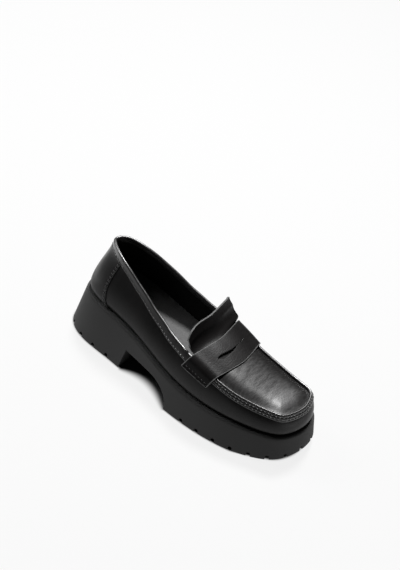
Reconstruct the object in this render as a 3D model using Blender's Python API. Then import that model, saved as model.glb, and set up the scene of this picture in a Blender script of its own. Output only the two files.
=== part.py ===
"""Chunky lug sole loafer, right shoe, at its real size.

The shoe stands on z = 0 with its toe to +X, its medial side to +Y and its lateral side to -Y.
Sizes are in millimetres and become metres as each mesh is made.
"""

import math

import bmesh
import bpy
import numpy as np

MM = 0.001

# Sole, one moulded unit of platform, arch and heel
RIM_LENGTH = 272.0  # heel to toe along the top rim
BALL_WIDTH = 90.0  # across the top rim at the ball
HEEL_HEIGHT = 51.0  # floor to top rim at the heel
PLATFORM_HEIGHT = 31.0  # floor to top rim at the ball
WALL_FLARE = 0.2  # the side wall's run outwards for each millimetre down
RIM_ROUND = 2.4  # radius of the rim's top edge
FOOT_CHAMFER = 0.9  # chamfer of the edge that meets the floor
BREAST_X = 79.0  # heel back to the heel's front face
BREAST_LEAN = 1.5  # the front face's run forwards at its top
ARCH_HEIGHT = 24.5  # floor to the arch's roof
TREAD_REAR_X = 146.0  # heel back to the rear of the forefoot tread
TREAD_RAMP = 30.0  # length of the curved rear of the forefoot block
TOE_SPRING = 10.0  # floor to the tread's tip
SPRING_LENGTH = 62.0  # how far back of the toe the tread leaves the floor

# Lugs: notches round the foot of the side wall, and grooves across the middle
LUG_PITCH = 19.0
LUG_START = 22.5  # from the rear of the forefoot tread to its first notch, along the wall
HEEL_LUG_START = 19.5  # from the breast to the heel's first notch, along the wall
LUG_END = 10.5  # least length of wall left after the last notch
NOTCH_WIDTH = 4.2
NOTCH_HEIGHT = 5.0
NOTCH_RUN = 21.0  # length of a notch's groove, in from the wall
BAR_START = 21.0  # from the rear of the forefoot tread to its first groove across
HEEL_BAR_START = 26.5  # from the heel's back to its first groove across
BAR_END = 9.5  # least length of heel left after its last groove, before the breast
TOE_BAR_END = 30.5  # the same before the toe
BAR_LENGTH = 25.0
BAR_DEPTH = 3.5
CUTTER_DROP = 6.0  # how far the grooves' cutters reach below the tread

# Upper, through the last's sections
UPPER_WALL = 2.0
RIM_LEDGE = 3.2  # width of the sole's rim left outside the upper
COLLAR_BACK_X = 15.0  # heel back to the collar's back
TOE_SETBACK = 10.0  # from the apron seam's front to the rim's toe
COLLAR_RISE = 59.0  # from the sole's rim to the collar's back
TOE_RISE = 26.0  # from the platform's rim to the apron seam at the toe
CROWN_HEIGHT = 8.0  # how far the instep stands over the apron seam
SIDE_SWELL = 3.0  # how far the side swells over the feather line
BAND_WIDTH = 11.0  # folded band below the collar
BAND_STEP = 0.9
RIDGE_WIDTH = 7.0  # raised seam round the apron
RIDGE_STEP = 1.4
RIDGE_BEVEL = 1.4  # width of the slope on the ridge's apron side

# Overlays, tongue and insole
FIT_GAP = 0.35  # clearance between pieces that lie on each other
STRAP_FRONT_X = 191.0  # the strap's front edge at the crest
STRAP_WIDTH = 31.0
STRAP_COVER = 4.0  # how far the apron runs on behind the strap's rear edge, under it
STRAP_SWEEP = 11.0  # how far back the strap's ends lie from its crest
STRAP_DROP = 15.0  # how far the strap's ends hang below the top line
STRAP_THICKNESS = 1.8
SLIT_LENGTH = 37.0
SLIT_WIDTH = 4.6
SLIT_END_WIDTH = 0.8
COUNTER_THICKNESS = 1.2
COUNTER_FOOT_X = 52.0  # heel back to the section where the counter ends at the sole
COUNTER_TOP_X = 40.0  # the same at the collar band
PANEL_SETBACK = 0.4  # slope from the collar band's edge down to the plain side
RAISE_EASE = 2.0  # below the top line, where the band or ridge has its full thickness
RAISE_FALL = 0.5  # above the band's lower edge, where its slope starts
RAISE_MARKS = (1.06, 1.22, 1.26)  # stand for the band's rows, whose places follow the side
TONGUE_THICKNESS = 2.2
TONGUE_LENGTH = 30.0  # what stands free behind the strap
TONGUE_SPREAD = 3.5  # how much further its medial corner stands out than its root
TONGUE_LIP = 0.8  # how far behind the strap the tongue starts to rise
TONGUE_START = 8.0  # angle in degrees to the floor where it starts to rise
TONGUE_RISE = 62.0  # the same at its end
TONGUE_LATERAL_CUT = 0.32  # share of TONGUE_LENGTH that its lateral corner is rounded by
TONGUE_MEDIAL_CUT = 0.04
INSOLE_THICKNESS = 3.0

APRON_FRONT_X = RIM_LENGTH - TOE_SETBACK
COLLAR_HEIGHT = HEEL_HEIGHT + COLLAR_RISE
APRON_HEIGHT = PLATFORM_HEIGHT + TOE_RISE
THROAT_X = STRAP_FRONT_X - STRAP_WIDTH + STRAP_COVER

# The sole's top rim: place along the length, then half widths as shares of BALL_WIDTH
RIM_COLUMNS = ("along", "lateral", "medial")
RIM_TABLE = (
    (1.000, -0.100, 0.100),
    (0.985, 0.115, 0.300),
    (0.968, 0.205, 0.365),
    (0.940, 0.283, 0.425),
    (0.900, 0.345, 0.462),
    (0.850, 0.402, 0.482),
    (0.800, 0.450, 0.488),
    (0.700, 0.513, 0.483),
    (0.600, 0.535, 0.460),
    (0.500, 0.522, 0.432),
    (0.400, 0.478, 0.410),
    (0.300, 0.432, 0.397),
    (0.200, 0.412, 0.390),
    (0.120, 0.402, 0.372),
    (0.060, 0.362, 0.332),
    (0.030, 0.308, 0.285),
    (0.010, 0.222, 0.205),
    (0.000, 0.035, -0.035),
)

# Collar and apron seam as one line: half widths as shares of BALL_WIDTH, and the height as a
# share of the way from APRON_HEIGHT to COLLAR_HEIGHT
TOP_COLUMNS = ("along", "lateral", "medial", "height")
TOP_TABLE = (
    (1.000, -0.094, 0.094, 0.000),
    (0.990, 0.055, 0.225, 0.000),
    (0.975, 0.154, 0.308, 0.002),
    (0.930, 0.232, 0.348, 0.008),
    (0.875, 0.287, 0.350, 0.022),
    (0.820, 0.339, 0.347, 0.055),
    (0.764, 0.379, 0.342, 0.098),
    (0.710, 0.397, 0.337, 0.145),
    (0.655, 0.401, 0.345, 0.190),
    (0.600, 0.398, 0.350, 0.235),
    (0.545, 0.393, 0.352, 0.272),
    (0.490, 0.372, 0.355, 0.310),
    (0.430, 0.346, 0.340, 0.363),
    (0.380, 0.317, 0.325, 0.431),
    (0.320, 0.292, 0.302, 0.520),
    (0.270, 0.271, 0.280, 0.627),
    (0.210, 0.251, 0.247, 0.745),
    (0.155, 0.232, 0.205, 0.863),
    (0.100, 0.205, 0.160, 0.951),
    (0.045, 0.144, 0.115, 0.995),
    (0.000, 0.030, -0.030, 1.000),
)

# The rim's height from PLATFORM_HEIGHT up to HEEL_HEIGHT, the crown over the apron seam as a
# share of CROWN_HEIGHT, and the fullness of the side below the top line and over the sole as
# shares of SIDE_SWELL
RISE_COLUMNS = ("along", "rim", "crown", "shoulder", "swell")
RISE_TABLE = (
    (1.00, 0.15, 0.00, 1.2, 1.0),
    (0.95, 0.08, 0.12, 1.3, 1.0),
    (0.90, 0.03, 0.26, 1.4, 1.0),
    (0.80, 0.00, 0.52, 1.5, 1.0),
    (0.70, 0.00, 0.76, 1.5, 1.0),
    (0.62, 0.03, 0.92, 1.5, 1.0),
    (0.52, 0.16, 1.00, 1.3, 1.0),
    (0.42, 0.38, 1.00, 0.9, 1.0),
    (0.32, 0.60, 1.00, 0.6, 1.0),
    (0.22, 0.80, 1.00, 0.2, 0.8),
    (0.10, 0.93, 1.00, -0.1, 0.5),
    (0.00, 1.00, 1.00, -0.2, 0.3),
)

STATIONS = 30  # sections from toe to heel
CROWN_CELLS = 12  # faces across the apron
TURN_REACH = 0.012  # half of the stretch that a direction along the shoe is taken over
DOWN_REACH = 0.03  # the same down its side
CROWN_REACH = 0.05  # the same across its apron


def spline(keys, values):
    """Natural cubic spline through (keys, values), keys rising, as a function."""
    keys = np.asarray(keys, float)
    values = np.asarray(values, float)
    step = np.diff(keys)
    slope = np.diff(values) / step
    count = len(keys)
    system = np.eye(count)
    right = np.zeros(count)
    for i in range(1, count - 1):
        system[i, i - 1 : i + 2] = step[i - 1], 2 * (step[i - 1] + step[i]), step[i]
        right[i] = 6 * (slope[i] - slope[i - 1])
    bend = np.linalg.solve(system, right)

    def curve(at):
        at = min(max(float(at), keys[0]), keys[-1])
        i = min(max(int(np.searchsorted(keys, at)) - 1, 0), count - 2)
        after = (at - keys[i]) / step[i]
        before = 1 - after
        bow = (before**3 - before) * bend[i] + (after**3 - after) * bend[i + 1]
        return before * values[i] + after * values[i + 1] + bow * step[i] ** 2 / 6

    return curve


def turn_of(along):
    """0 at the toe and 1 at the heel, spaced so that both ends come out round."""
    return math.acos(min(max(2 * along - 1, -1.0), 1.0)) / math.pi


def along_of(turn):
    return (1 + math.cos(math.pi * turn)) / 2


def curves_of(table, names):
    """One curve for each named column, over the turn."""
    turns = [turn_of(row[0]) for row in table]
    return {name: spline(turns, [row[i] for row in table]) for i, name in enumerate(names) if i}


RIM = curves_of(RIM_TABLE, RIM_COLUMNS)
TOP = curves_of(TOP_TABLE, TOP_COLUMNS)
RISE = curves_of(RISE_TABLE, RISE_COLUMNS)


def wrapped(turn):
    """A signed turn, minus on the lateral side, brought back within -1 to 1 past the heel."""
    return turn - 2 * np.sign(turn) if abs(turn) > 1 else turn


def side_of(turn):
    return "lateral" if turn < 0 else "medial"


def sideways(curves, turn):
    half = curves[side_of(turn)](abs(turn)) * BALL_WIDTH
    return -half if turn < 0 else half


def rim_point(turn):
    turn = wrapped(turn)
    return np.array([along_of(turn) * RIM_LENGTH, sideways(RIM, turn)])


def top_point(turn):
    """The outer edge of the collar, and further forward the apron seam."""
    turn = wrapped(turn)
    x = COLLAR_BACK_X + along_of(turn) * (APRON_FRONT_X - COLLAR_BACK_X)
    z = APRON_HEIGHT + TOP["height"](abs(turn)) * (COLLAR_HEIGHT - APRON_HEIGHT)
    return np.array([x, sideways(TOP, turn), z])


def outward(turn):
    """The level direction that points away from the rim."""
    run = rim_point(turn + TURN_REACH) - rim_point(turn - TURN_REACH)
    run /= math.hypot(*run)
    return np.array([run[1], -run[0], 0.0])


def rim_height(x):
    return PLATFORM_HEIGHT + RISE["rim"](turn_of(x / RIM_LENGTH)) * (HEEL_HEIGHT - PLATFORM_HEIGHT)


def tread_height(x):
    """Floor to the underside: heel, breast, arch, curved ramp, flat tread, toe spring."""
    if x <= BREAST_X:
        return 0.0
    if x < BREAST_X + BREAST_LEAN:
        return ARCH_HEIGHT * (x - BREAST_X) / BREAST_LEAN
    ramp_start = TREAD_REAR_X - TREAD_RAMP
    if x <= ramp_start:
        return ARCH_HEIGHT
    if x < TREAD_REAR_X:
        return ARCH_HEIGHT * math.sqrt(1 - ((x - ramp_start) / TREAD_RAMP) ** 2)
    spring = max(0.0, (x - RIM_LENGTH + SPRING_LENGTH) / SPRING_LENGTH)
    return TOE_SPRING * spring**2


def wall_point(turn, height, inset=0.0):
    """A point of the sole's flared side wall."""
    rim = rim_point(turn)
    run = (rim_height(rim[0]) - height) * WALL_FLARE - inset
    return np.array([*rim, height]) + outward(turn) * run


def feather_point(turn):
    """Where the upper's outer face meets the sole."""
    rim = rim_point(turn)
    foot = np.array([*rim, 0.0]) - outward(turn) * RIM_LEDGE
    foot[2] = rim_height(foot[0]) + FIT_GAP
    return foot


def side_point(turn, down):
    """The upper's side, from the top line (down 0) to the feather line (down 1)."""
    top, foot = top_point(turn), feather_point(turn)
    rise = top[2] - foot[2]
    away = outward(turn)
    up = np.array([0.0, 0.0, 1.0])
    low = foot + away * SIDE_SWELL * RISE["swell"](abs(turn)) + up * rise * 0.4
    high = top + away * SIDE_SWELL * RISE["shoulder"](abs(turn)) - up * rise * 0.22
    t = 1 - down
    return foot * (1 - t) ** 3 + low * 3 * t * (1 - t) ** 2 + high * 3 * t**2 * (1 - t) + top * t**3


def crown_point(turn, across):
    """The apron between the two seams, across from -1 lateral to 1 medial."""
    turn = abs(turn)
    near, far = top_point(-turn), top_point(turn)
    point = near + (far - near) * (across + 1) / 2
    point[2] += CROWN_HEIGHT * RISE["crown"](turn) * (1 - abs(across) ** 2.3)
    return point


def skin_point(turn, across):
    """The whole outer face: across -2 lateral feather, -1 seam, 0 crest, 1 seam, 2 feather."""
    if abs(across) <= 1:
        return crown_point(turn, across)
    return side_point(math.copysign(abs(turn), across), abs(across) - 1)


def side_length(turn):
    return float(np.linalg.norm(top_point(turn) - feather_point(turn)))


def seam_half(turn):
    """Half the distance between the two sides of the top line."""
    return max(1.0, float(np.linalg.norm(top_point(turn) - top_point(-turn))) / 2)


def seam_width(turn):
    """Width of the collar band at the back and of the apron ridge at the front."""
    return blend(top_point(turn)[0], BAND_WIDTH, RIDGE_WIDTH)


def seam_step(turn):
    return blend(top_point(turn)[0], BAND_STEP, RIDGE_STEP)


def blend(x, behind, ahead):
    """Changes from one value to the other under the strap."""
    start = STRAP_FRONT_X - STRAP_WIDTH
    share = min(1.0, max(0.0, (x - start) / STRAP_WIDTH))
    return behind + (ahead - behind) * share


def raise_rows(turn):
    """Rows down the side as (across, raise): the band's rounded edge, then the plain side."""
    length, width, step = side_length(turn), seam_width(turn), seam_step(turn)
    full, fall = 1 + RAISE_EASE / length, 1 + (width - RAISE_FALL) / length
    rows = [(1.0, 0.7 * step), (full, step), (fall, step)]
    start = 1 + (width + PANEL_SETBACK) / length
    plain = [start + (2 - start) * share for share in (0.0, 0.17, 0.36, 0.56, 0.77, 1.0)]
    return rows + [(across, 0.0) for across in plain]


def raise_at(turn, across):
    """How far the outer face stands over the plain skin at a place."""
    side = math.copysign(abs(turn), across)
    inside = 1 - RIDGE_BEVEL / seam_half(turn)
    rows = [(0.0, 0.0), (inside, 0.0)] + raise_rows(side)
    places, heights = zip(*rows)
    return float(np.interp(abs(across), places, heights))


def side_normal(turn, down):
    """Outward direction of the side, averaged over a few millimetres."""
    ahead = side_point(wrapped(turn - TURN_REACH), down)
    behind = side_point(wrapped(turn + TURN_REACH), down)
    above, below = max(0.0, down - DOWN_REACH), min(1.0, down + DOWN_REACH)
    normal = np.cross(ahead - behind, side_point(turn, above) - side_point(turn, below))
    normal /= np.linalg.norm(normal)
    return normal if np.dot(normal, outward(turn)) > 0 else -normal


def skin_normal(turn, across):
    """Outward direction of the apron and the instep."""
    forward = crown_point(turn - TURN_REACH, across) - crown_point(turn + TURN_REACH, across)
    far = crown_point(turn, min(1.0, across + CROWN_REACH))
    near = crown_point(turn, max(-1.0, across - CROWN_REACH))
    normal = np.cross(forward, far - near)
    return normal / np.linalg.norm(normal)


def turn_at_top(x):
    """The turn at which the top line reaches x."""
    return turn_of((x - COLLAR_BACK_X) / (APRON_FRONT_X - COLLAR_BACK_X))


def turn_at_rim(x):
    return turn_of(x / RIM_LENGTH)


def sections(extra):
    """Evenly spaced turns from toe to heel, with the extra ones in place of any too near."""
    even = []
    for turn in np.linspace(0, 1, STATIONS + 1):
        if min([1.0] + [abs(turn - mark) for mark in extra]) > 0.011:
            even.append(turn)
    return sorted(set(even + list(extra)) | {0.0, 1.0})


def ring_of(turns):
    """Signed turns once round: toe, lateral side, heel, medial side."""
    return [0.0] + [-t for t in turns[1:-1]] + [1.0] + list(turns[-2:0:-1])


def shift():
    """The middle of the sole's foot, which becomes the origin."""
    turns = np.linspace(-1, 1, 721)
    spots = []
    for turn in turns:
        x = rim_point(turn)[0]
        spots.append(wall_point(turn, tread_height(x) + FOOT_CHAMFER))
    spots = np.array(spots)
    middle = (spots.min(axis=0) + spots.max(axis=0)) / 2
    return np.array([middle[0], middle[1], 0.0])


SHIFT = shift()


def material(name, colour, roughness, specular):
    made = bpy.data.materials.new(name)
    made.use_nodes = True
    shader = made.node_tree.nodes["Principled BSDF"]
    shader.inputs["Base Color"].default_value = (*colour, 1.0)
    shader.inputs["Roughness"].default_value = roughness
    shader.inputs["Metallic"].default_value = 0.0
    shader.inputs["Specular IOR Level"].default_value = specular
    made.diffuse_color = (*colour, 1.0)
    return made


def object_of(name, mesh_maker, finish):
    """Closes a bmesh into a named object, its faces turned outwards."""
    bm = bmesh.new()
    mesh_maker(bm)
    bmesh.ops.recalc_face_normals(bm, faces=bm.faces)
    mesh = bpy.data.meshes.new(name)
    bm.to_mesh(mesh)
    bm.free()
    made = bpy.data.objects.new(name, mesh)
    bpy.context.scene.collection.objects.link(made)
    if finish:
        mesh.materials.append(finish)
    mesh.shade_smooth()
    mesh.set_sharp_from_angle(angle=math.radians(40))
    return made


def vertex(bm, point):
    return bm.verts.new((np.asarray(point) - SHIFT) * MM)


def face(bm, corners):
    """A face from its corners, leaving out any that repeat."""
    kept = []
    for corner in corners:
        if corner not in kept:
            kept.append(corner)
    if len(kept) > 2:
        bm.faces.new(kept)


def ribbon(bm, first, second, closed=True):
    """Quads between two rows of vertices."""
    count = len(first) if closed else len(first) - 1
    for i in range(count):
        j = (i + 1) % len(first)
        face(bm, (first[i], first[j], second[j], second[i]))


def deck(bm, ring, flip):
    """Faces straight across a ring, each from the lateral side to its medial partner."""
    count = len(ring)
    half = count // 2
    for i in range(half):
        near, far = ring[i : i + 2], [ring[-i % count], ring[(-i - 1) % count]]
        corners = (near[0], near[1], far[1], far[0])
        face(bm, corners[::-1] if flip else corners)


def thicken(bm, lower, upper, cells, outline):
    """A closed sheet from two matching sets of vertices, its cells and its boundary edges."""
    for cell in cells:
        face(bm, [upper[key] for key in cell])
        face(bm, [lower[key] for key in reversed(cell)])
    for a, b in outline:
        face(bm, (upper[b], upper[a], lower[a], lower[b]))


def outline_of(cells):
    """Directed edges that only one cell has."""
    edges = set()
    for cell in cells:
        corners = [key for i, key in enumerate(cell) if key != cell[i - 1]]
        for i, key in enumerate(corners):
            edges.add((corners[i - 1], key))
    return [(a, b) for a, b in sorted(edges) if (b, a) not in edges and a != b]


def sheet(bm, place, rows, columns, low, high, left_out=lambda row, column: False):
    """A closed panel: place(row, column) gives a point and its normal, then two offsets."""
    lower, upper = {}, {}
    for i in range(rows):
        for j in range(columns):
            point, normal = place(i, j)
            lower[i, j] = vertex(bm, point + normal * low)
            upper[i, j] = vertex(bm, point + normal * high)
    cells = [
        ((i, j), (i + 1, j), (i + 1, j + 1), (i, j + 1))
        for i in range(rows - 1)
        for j in range(columns - 1)
        if not left_out(i, j)
    ]
    thicken(bm, lower, upper, cells, outline_of(cells))


def build_sole(bm):
    ramp = [TREAD_REAR_X - TREAD_RAMP * (1 - share) for share in (0.0, 0.35, 0.6, 0.8, 0.93, 1.0)]
    marks = [BREAST_X, BREAST_X + BREAST_LEAN, *ramp, RIM_LENGTH - SPRING_LENGTH]
    ring = ring_of(sections([turn_at_rim(x) for x in marks]))
    rows = []
    for share, drop in ((1.0, 0.0), (0.3, 0.3), (0.0, 1.0)):
        row = []
        for turn in ring:
            height = rim_height(rim_point(turn)[0])
            spot = wall_point(turn, height - RIM_ROUND * drop, RIM_ROUND * share)
            row.append(vertex(bm, spot))
        rows.append(row)
    for lift, inset in ((FOOT_CHAMFER, 0.0), (0.0, FOOT_CHAMFER)):
        row = []
        for turn in ring:
            height = tread_height(rim_point(turn)[0])
            row.append(vertex(bm, wall_point(turn, height + lift, inset)))
        rows.append(row)
    for first, second in zip(rows, rows[1:]):
        ribbon(bm, first, second)
    deck(bm, rows[0], False)
    deck(bm, rows[-1], True)


def groove(bm, spot, away, start, end, width, height):
    """A slot with a round roof, from start to end along away, cut up from the tread."""
    across = np.array([-away[1], away[0], 0.0])
    half = width / 2
    profile = [(-half, -CUTTER_DROP), (half, -CUTTER_DROP), (half, height - half)]
    steps = 4
    profile += [
        (half * math.cos(math.pi * i / steps), height - half + half * math.sin(math.pi * i / steps))
        for i in range(1, steps + 1)
    ]
    ends = []
    for reach in (start, end):
        middle = spot + away * reach
        ends.append([vertex(bm, middle + across * s + np.array([0, 0, z])) for s, z in profile])
    ribbon(bm, ends[0], ends[1])
    face(bm, ends[0])
    face(bm, ends[1][::-1])


def wall_marks(block, first):
    """Turns one LUG_PITCH apart round the foot of a block, the first mark so far from its end."""
    spots = np.array([wall_point(t, tread_height(rim_point(t)[0])) for t in block])
    path = np.concatenate([[0.0], np.cumsum(np.linalg.norm(np.diff(spots, axis=0), axis=1))])
    at = np.arange(first, path[-1] - LUG_END, LUG_PITCH)
    return [wrapped(float(np.interp(place, path, block))) for place in at]


def build_grooves(bm):
    rear, breast = turn_at_rim(TREAD_REAR_X), turn_at_rim(BREAST_X)
    marks = wall_marks(np.linspace(-rear, rear, 601), LUG_START)
    marks += wall_marks(np.linspace(-breast, breast - 2, 601), HEEL_LUG_START)
    for turn in marks:
        spot = wall_point(turn, tread_height(rim_point(turn)[0]))
        groove(bm, spot, -outward(turn), -RIM_LEDGE, NOTCH_RUN, NOTCH_WIDTH, NOTCH_HEIGHT)
    bars = np.arange(TREAD_REAR_X + BAR_START, RIM_LENGTH - TOE_BAR_END, LUG_PITCH)
    heel_bars = np.arange(HEEL_BAR_START, BREAST_X - BAR_END, LUG_PITCH)
    for x in [*bars, *heel_bars]:
        turn = turn_at_rim(x)
        middle = (wall_point(-turn, 0.0) + wall_point(turn, 0.0)) / 2
        middle[2] = tread_height(x)
        half = BAR_LENGTH / 2
        groove(bm, middle, np.array([0.0, 1.0, 0.0]), -half, half, NOTCH_WIDTH, BAR_DEPTH)


def build_upper(bm):
    throat = turn_at_top(THROAT_X)
    extra = [throat, turn_at_top(STRAP_FRONT_X), turn_at_top(STRAP_FRONT_X - STRAP_WIDTH)]
    turns = sections(extra)
    ring = ring_of(turns)
    last = turns.index(throat)
    plain, raises = {}, {}
    rows = len(raise_rows(0.0))
    for k, turn in enumerate(ring):
        for j, (across, lift) in enumerate(raise_rows(turn)):
            plain["side", k, j] = side_point(turn, across - 1)
            raises["side", k, j] = lift
    cells = []
    count = len(ring)
    for k in range(count):
        for j in range(rows - 1):
            n = (k + 1) % count
            cells.append((("side", k, j), ("side", n, j), ("side", n, j + 1), ("side", k, j + 1)))

    def crest(i, c):
        """A vertex of the apron's row i, c cells from its lateral seam."""
        if c == 0 or i == 0:
            return "side", i, 0
        if c == CROWN_CELLS:
            return "side", (-i) % count, 0
        return "crown", i, c

    for i in range(1, last + 1):
        turn = turns[i]
        inside = 1 - RIDGE_BEVEL / seam_half(turn)
        for c in range(1, CROWN_CELLS):
            across = -inside + 2 * inside * (c - 1) / (CROWN_CELLS - 2)
            plain["crown", i, c] = crown_point(turn, across)
            raises["crown", i, c] = 0.0
    for i in range(last):
        for c in range(CROWN_CELLS):
            cell = (crest(i, c), crest(i, c + 1), crest(i + 1, c + 1), crest(i + 1, c))
            corners = [key for n, key in enumerate(cell) if key not in cell[:n]]
            if len(corners) > 2:
                cells.append(tuple(corners))
    normals = sheet_normals(plain, cells)
    lower, upper = {}, {}
    for key, point in plain.items():
        inner = point - normals[key] * UPPER_WALL
        outer = point
        if raises[key]:
            turn, across = ring[key[1]], raise_rows(ring[key[1]])[key[2]][0]
            outer = point + side_normal(turn, across - 1) * raises[key]
        if key[0] == "side" and key[2] == rows - 1:
            level = feather_point(ring[key[1]]) - outward(ring[key[1]]) * UPPER_WALL
            inner = level
        lower[key], upper[key] = vertex(bm, inner), vertex(bm, outer)
    thicken(bm, lower, upper, cells, outline_of(cells))


def sheet_normals(points, cells):
    """Vertex normals of an open sheet of cells, as unit vectors that point out of the shoe."""
    sums = {key: np.zeros(3) for key in points}
    for cell in cells:
        corners = [points[key] for key in cell]
        middle = sum(corners) / len(corners)
        normal = np.zeros(3)
        for i, corner in enumerate(corners):
            normal += np.cross(corners[i - 1] - middle, corner - middle)
        for key in cell:
            sums[key] += normal / max(np.linalg.norm(normal), 1e-9)
    heart = np.mean(list(points.values()), axis=0)
    total = sum(np.dot(sums[key], points[key] - heart) for key in points)
    sign = 1 if total > 0 else -1
    return {key: sign * value / np.linalg.norm(value) for key, value in sums.items()}


def strap_turn(across, forward):
    """The section under a place on the strap, forward from 0 at its rear edge to 1."""
    end = strap_end()
    sweep = STRAP_SWEEP * (abs(across) / end) ** 1.6
    return turn_at_top(STRAP_FRONT_X - STRAP_WIDTH * (1 - forward) - sweep)


def strap_end():
    """How far across the strap reaches, at its middle."""
    turn = turn_at_top(STRAP_FRONT_X - STRAP_WIDTH / 2 - STRAP_SWEEP)
    return 1 + STRAP_DROP / side_length(-turn)


def build_strap(bm):
    end = strap_end()
    seam = seam_half(turn_at_top(STRAP_FRONT_X - STRAP_WIDTH / 2))
    half = SLIT_LENGTH / 2 / seam
    inner = list(np.linspace(-half, half, 9))
    outer = [(half + 1) / 2, 0.9, 1 - RIDGE_BEVEL / seam, 1.0, *RAISE_MARKS, end]
    columns = [-place for place in reversed(outer)] + inner + outer
    rows = 6

    def place(i, j):
        across = columns[j]
        row = outer.index(abs(across)) - 3 if abs(across) in outer else -1
        if 0 < row < 4:
            side = math.copysign(strap_turn(across, i / (rows - 1)), across)
            across = math.copysign(raise_rows(side)[row][0], across)
        open_share = max(0.0, 1 - (across / half) ** 2) if abs(across) < half else 0.0
        width = max(SLIT_END_WIDTH, SLIT_WIDTH * open_share) / STRAP_WIDTH
        steps = (0.0, 0.25, 0.5 - width * 0.35, 0.5 + width * 0.65, 0.78, 1.0)
        turn = strap_turn(across, steps[i])
        point = skin_point(turn, across)
        if abs(across) < 1:
            return point, skin_normal(turn, across)
        normal = side_normal(math.copysign(turn, across), abs(across) - 1)
        lift = raise_at(turn, across)
        if abs(across) == 1:
            return point + normal * lift, skin_normal(turn, across)
        return point + normal * lift, normal

    first = columns.index(inner[0])

    def left_out(i, j):
        return i == 2 and first <= j < first + len(inner) - 1

    sheet(bm, place, rows, len(columns), FIT_GAP, FIT_GAP + STRAP_THICKNESS, left_out)


def build_tongue(bm):
    """A leaf from under the strap: rows on the skin's line, then rows that rise free."""
    skin_rows, free_rows, across_cells = 3, 6, 12
    root_x = THROAT_X - FIT_GAP
    reach = 1 - (UPPER_WALL + 2 * FIT_GAP) / seam_half(turn_at_top(root_x))
    first, last = math.radians(TONGUE_START), math.radians(TONGUE_RISE)

    def place(i, j):
        c = -1 + 2 * j / across_cells
        rear_x = top_point(strap_turn(c * reach, 0.0))[0] - TONGUE_LIP
        on_skin = min(1.0, i / (skin_rows - 1))
        turn = turn_at_top(root_x + (rear_x - root_x) * on_skin)
        point, normal = skin_point(turn, c * reach), skin_normal(turn, c * reach)
        if i < skin_rows:
            return point, normal
        share = (i - skin_rows + 1) / free_rows
        cut = TONGUE_LATERAL_CUT * max(0.0, -c) ** 4 + TONGUE_MEDIAL_CUT * max(0.0, c) ** 8
        length = TONGUE_LENGTH * (1 - cut) * share
        slope = first + (last - first) * min(1.0, share * 1.6)
        chord = first + (slope - first) * (0.5 + 0.28 * share)
        point += np.array([-math.cos(chord) * length, 0.0, math.sin(chord) * length])
        point[1] += max(0.0, c) ** 2 * TONGUE_SPREAD * share
        tilt = np.array([math.sin(slope), normal[1] * 0.5, math.cos(slope)])
        lean = normal * (1 - share) + tilt * share
        return point, lean / np.linalg.norm(lean)

    sheet(bm, place, skin_rows + free_rows, across_cells + 1, -TONGUE_THICKNESS, 0.0)


def build_counter(bm):
    rows, across_cells = 7, 16

    def place(i, j):
        share = -1 + 2 * j / across_cells
        down = i / (rows - 1)
        front = COUNTER_TOP_X + (COUNTER_FOOT_X - COUNTER_TOP_X) * down**2.2
        turn_front = turn_at_top(front)
        turn = 1 - (1 - turn_front) * abs(share)
        signed = -turn if share < 0 else turn
        if turn > 0.9999:
            signed = 1.0
        length = side_length(signed)
        top = (seam_width(signed) + PANEL_SETBACK + FIT_GAP) / length
        low = 1 - FIT_GAP / length
        at = 1 + top + (low - top) * down
        return side_point(signed, at - 1), side_normal(signed, at - 1)

    sheet(bm, place, rows, across_cells + 1, FIT_GAP, FIT_GAP + COUNTER_THICKNESS)


def build_insole(bm):
    ring = ring_of(sections([]))
    inset = RIM_LEDGE + UPPER_WALL + FIT_GAP
    rows = []
    for lift in (0.0, INSOLE_THICKNESS):
        row = []
        for turn in ring:
            spot = np.array([*rim_point(turn), 0.0]) - outward(turn) * inset
            spot[2] = rim_height(spot[0]) + FIT_GAP + lift
            row.append(vertex(bm, spot))
        rows.append(row)
    ribbon(bm, rows[0], rows[1])
    deck(bm, rows[0], True)
    deck(bm, rows[1], False)


def main():
    for old in list(bpy.data.objects):
        bpy.data.objects.remove(old)
    leather = material("black_leather", (0.012, 0.011, 0.011), 0.36, 0.5)
    rubber = material("black_rubber", (0.022, 0.022, 0.022), 0.75, 0.4)
    lining = material("insole_lining", (0.030, 0.029, 0.028), 0.80, 0.3)
    sole = object_of("outsole", build_sole, rubber)
    grooves = object_of("lug_grooves", build_grooves, None)
    grooves.hide_render = True
    grooves.display_type = "WIRE"
    cut = sole.modifiers.new("lugs", "BOOLEAN")
    cut.operation = "DIFFERENCE"
    cut.object = grooves
    cut.use_self = True  # on a narrow shoe the notches run into the cross grooves
    object_of("upper", build_upper, leather)
    object_of("insole", build_insole, lining)
    object_of("tongue", build_tongue, leather)
    object_of("saddle_strap", build_strap, leather)
    object_of("heel_counter", build_counter, leather)


main()
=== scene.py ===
"""Chunky lug sole loafer, right shoe: the finished leather, lining, thread and rubber round its frame.

Lengths are in millimetres, toe to +X, medial side to +Y, and become metres as each mesh is made.
"""

import math

import bmesh
import bpy
import numpy as np
from mathutils import Matrix, Vector


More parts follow.
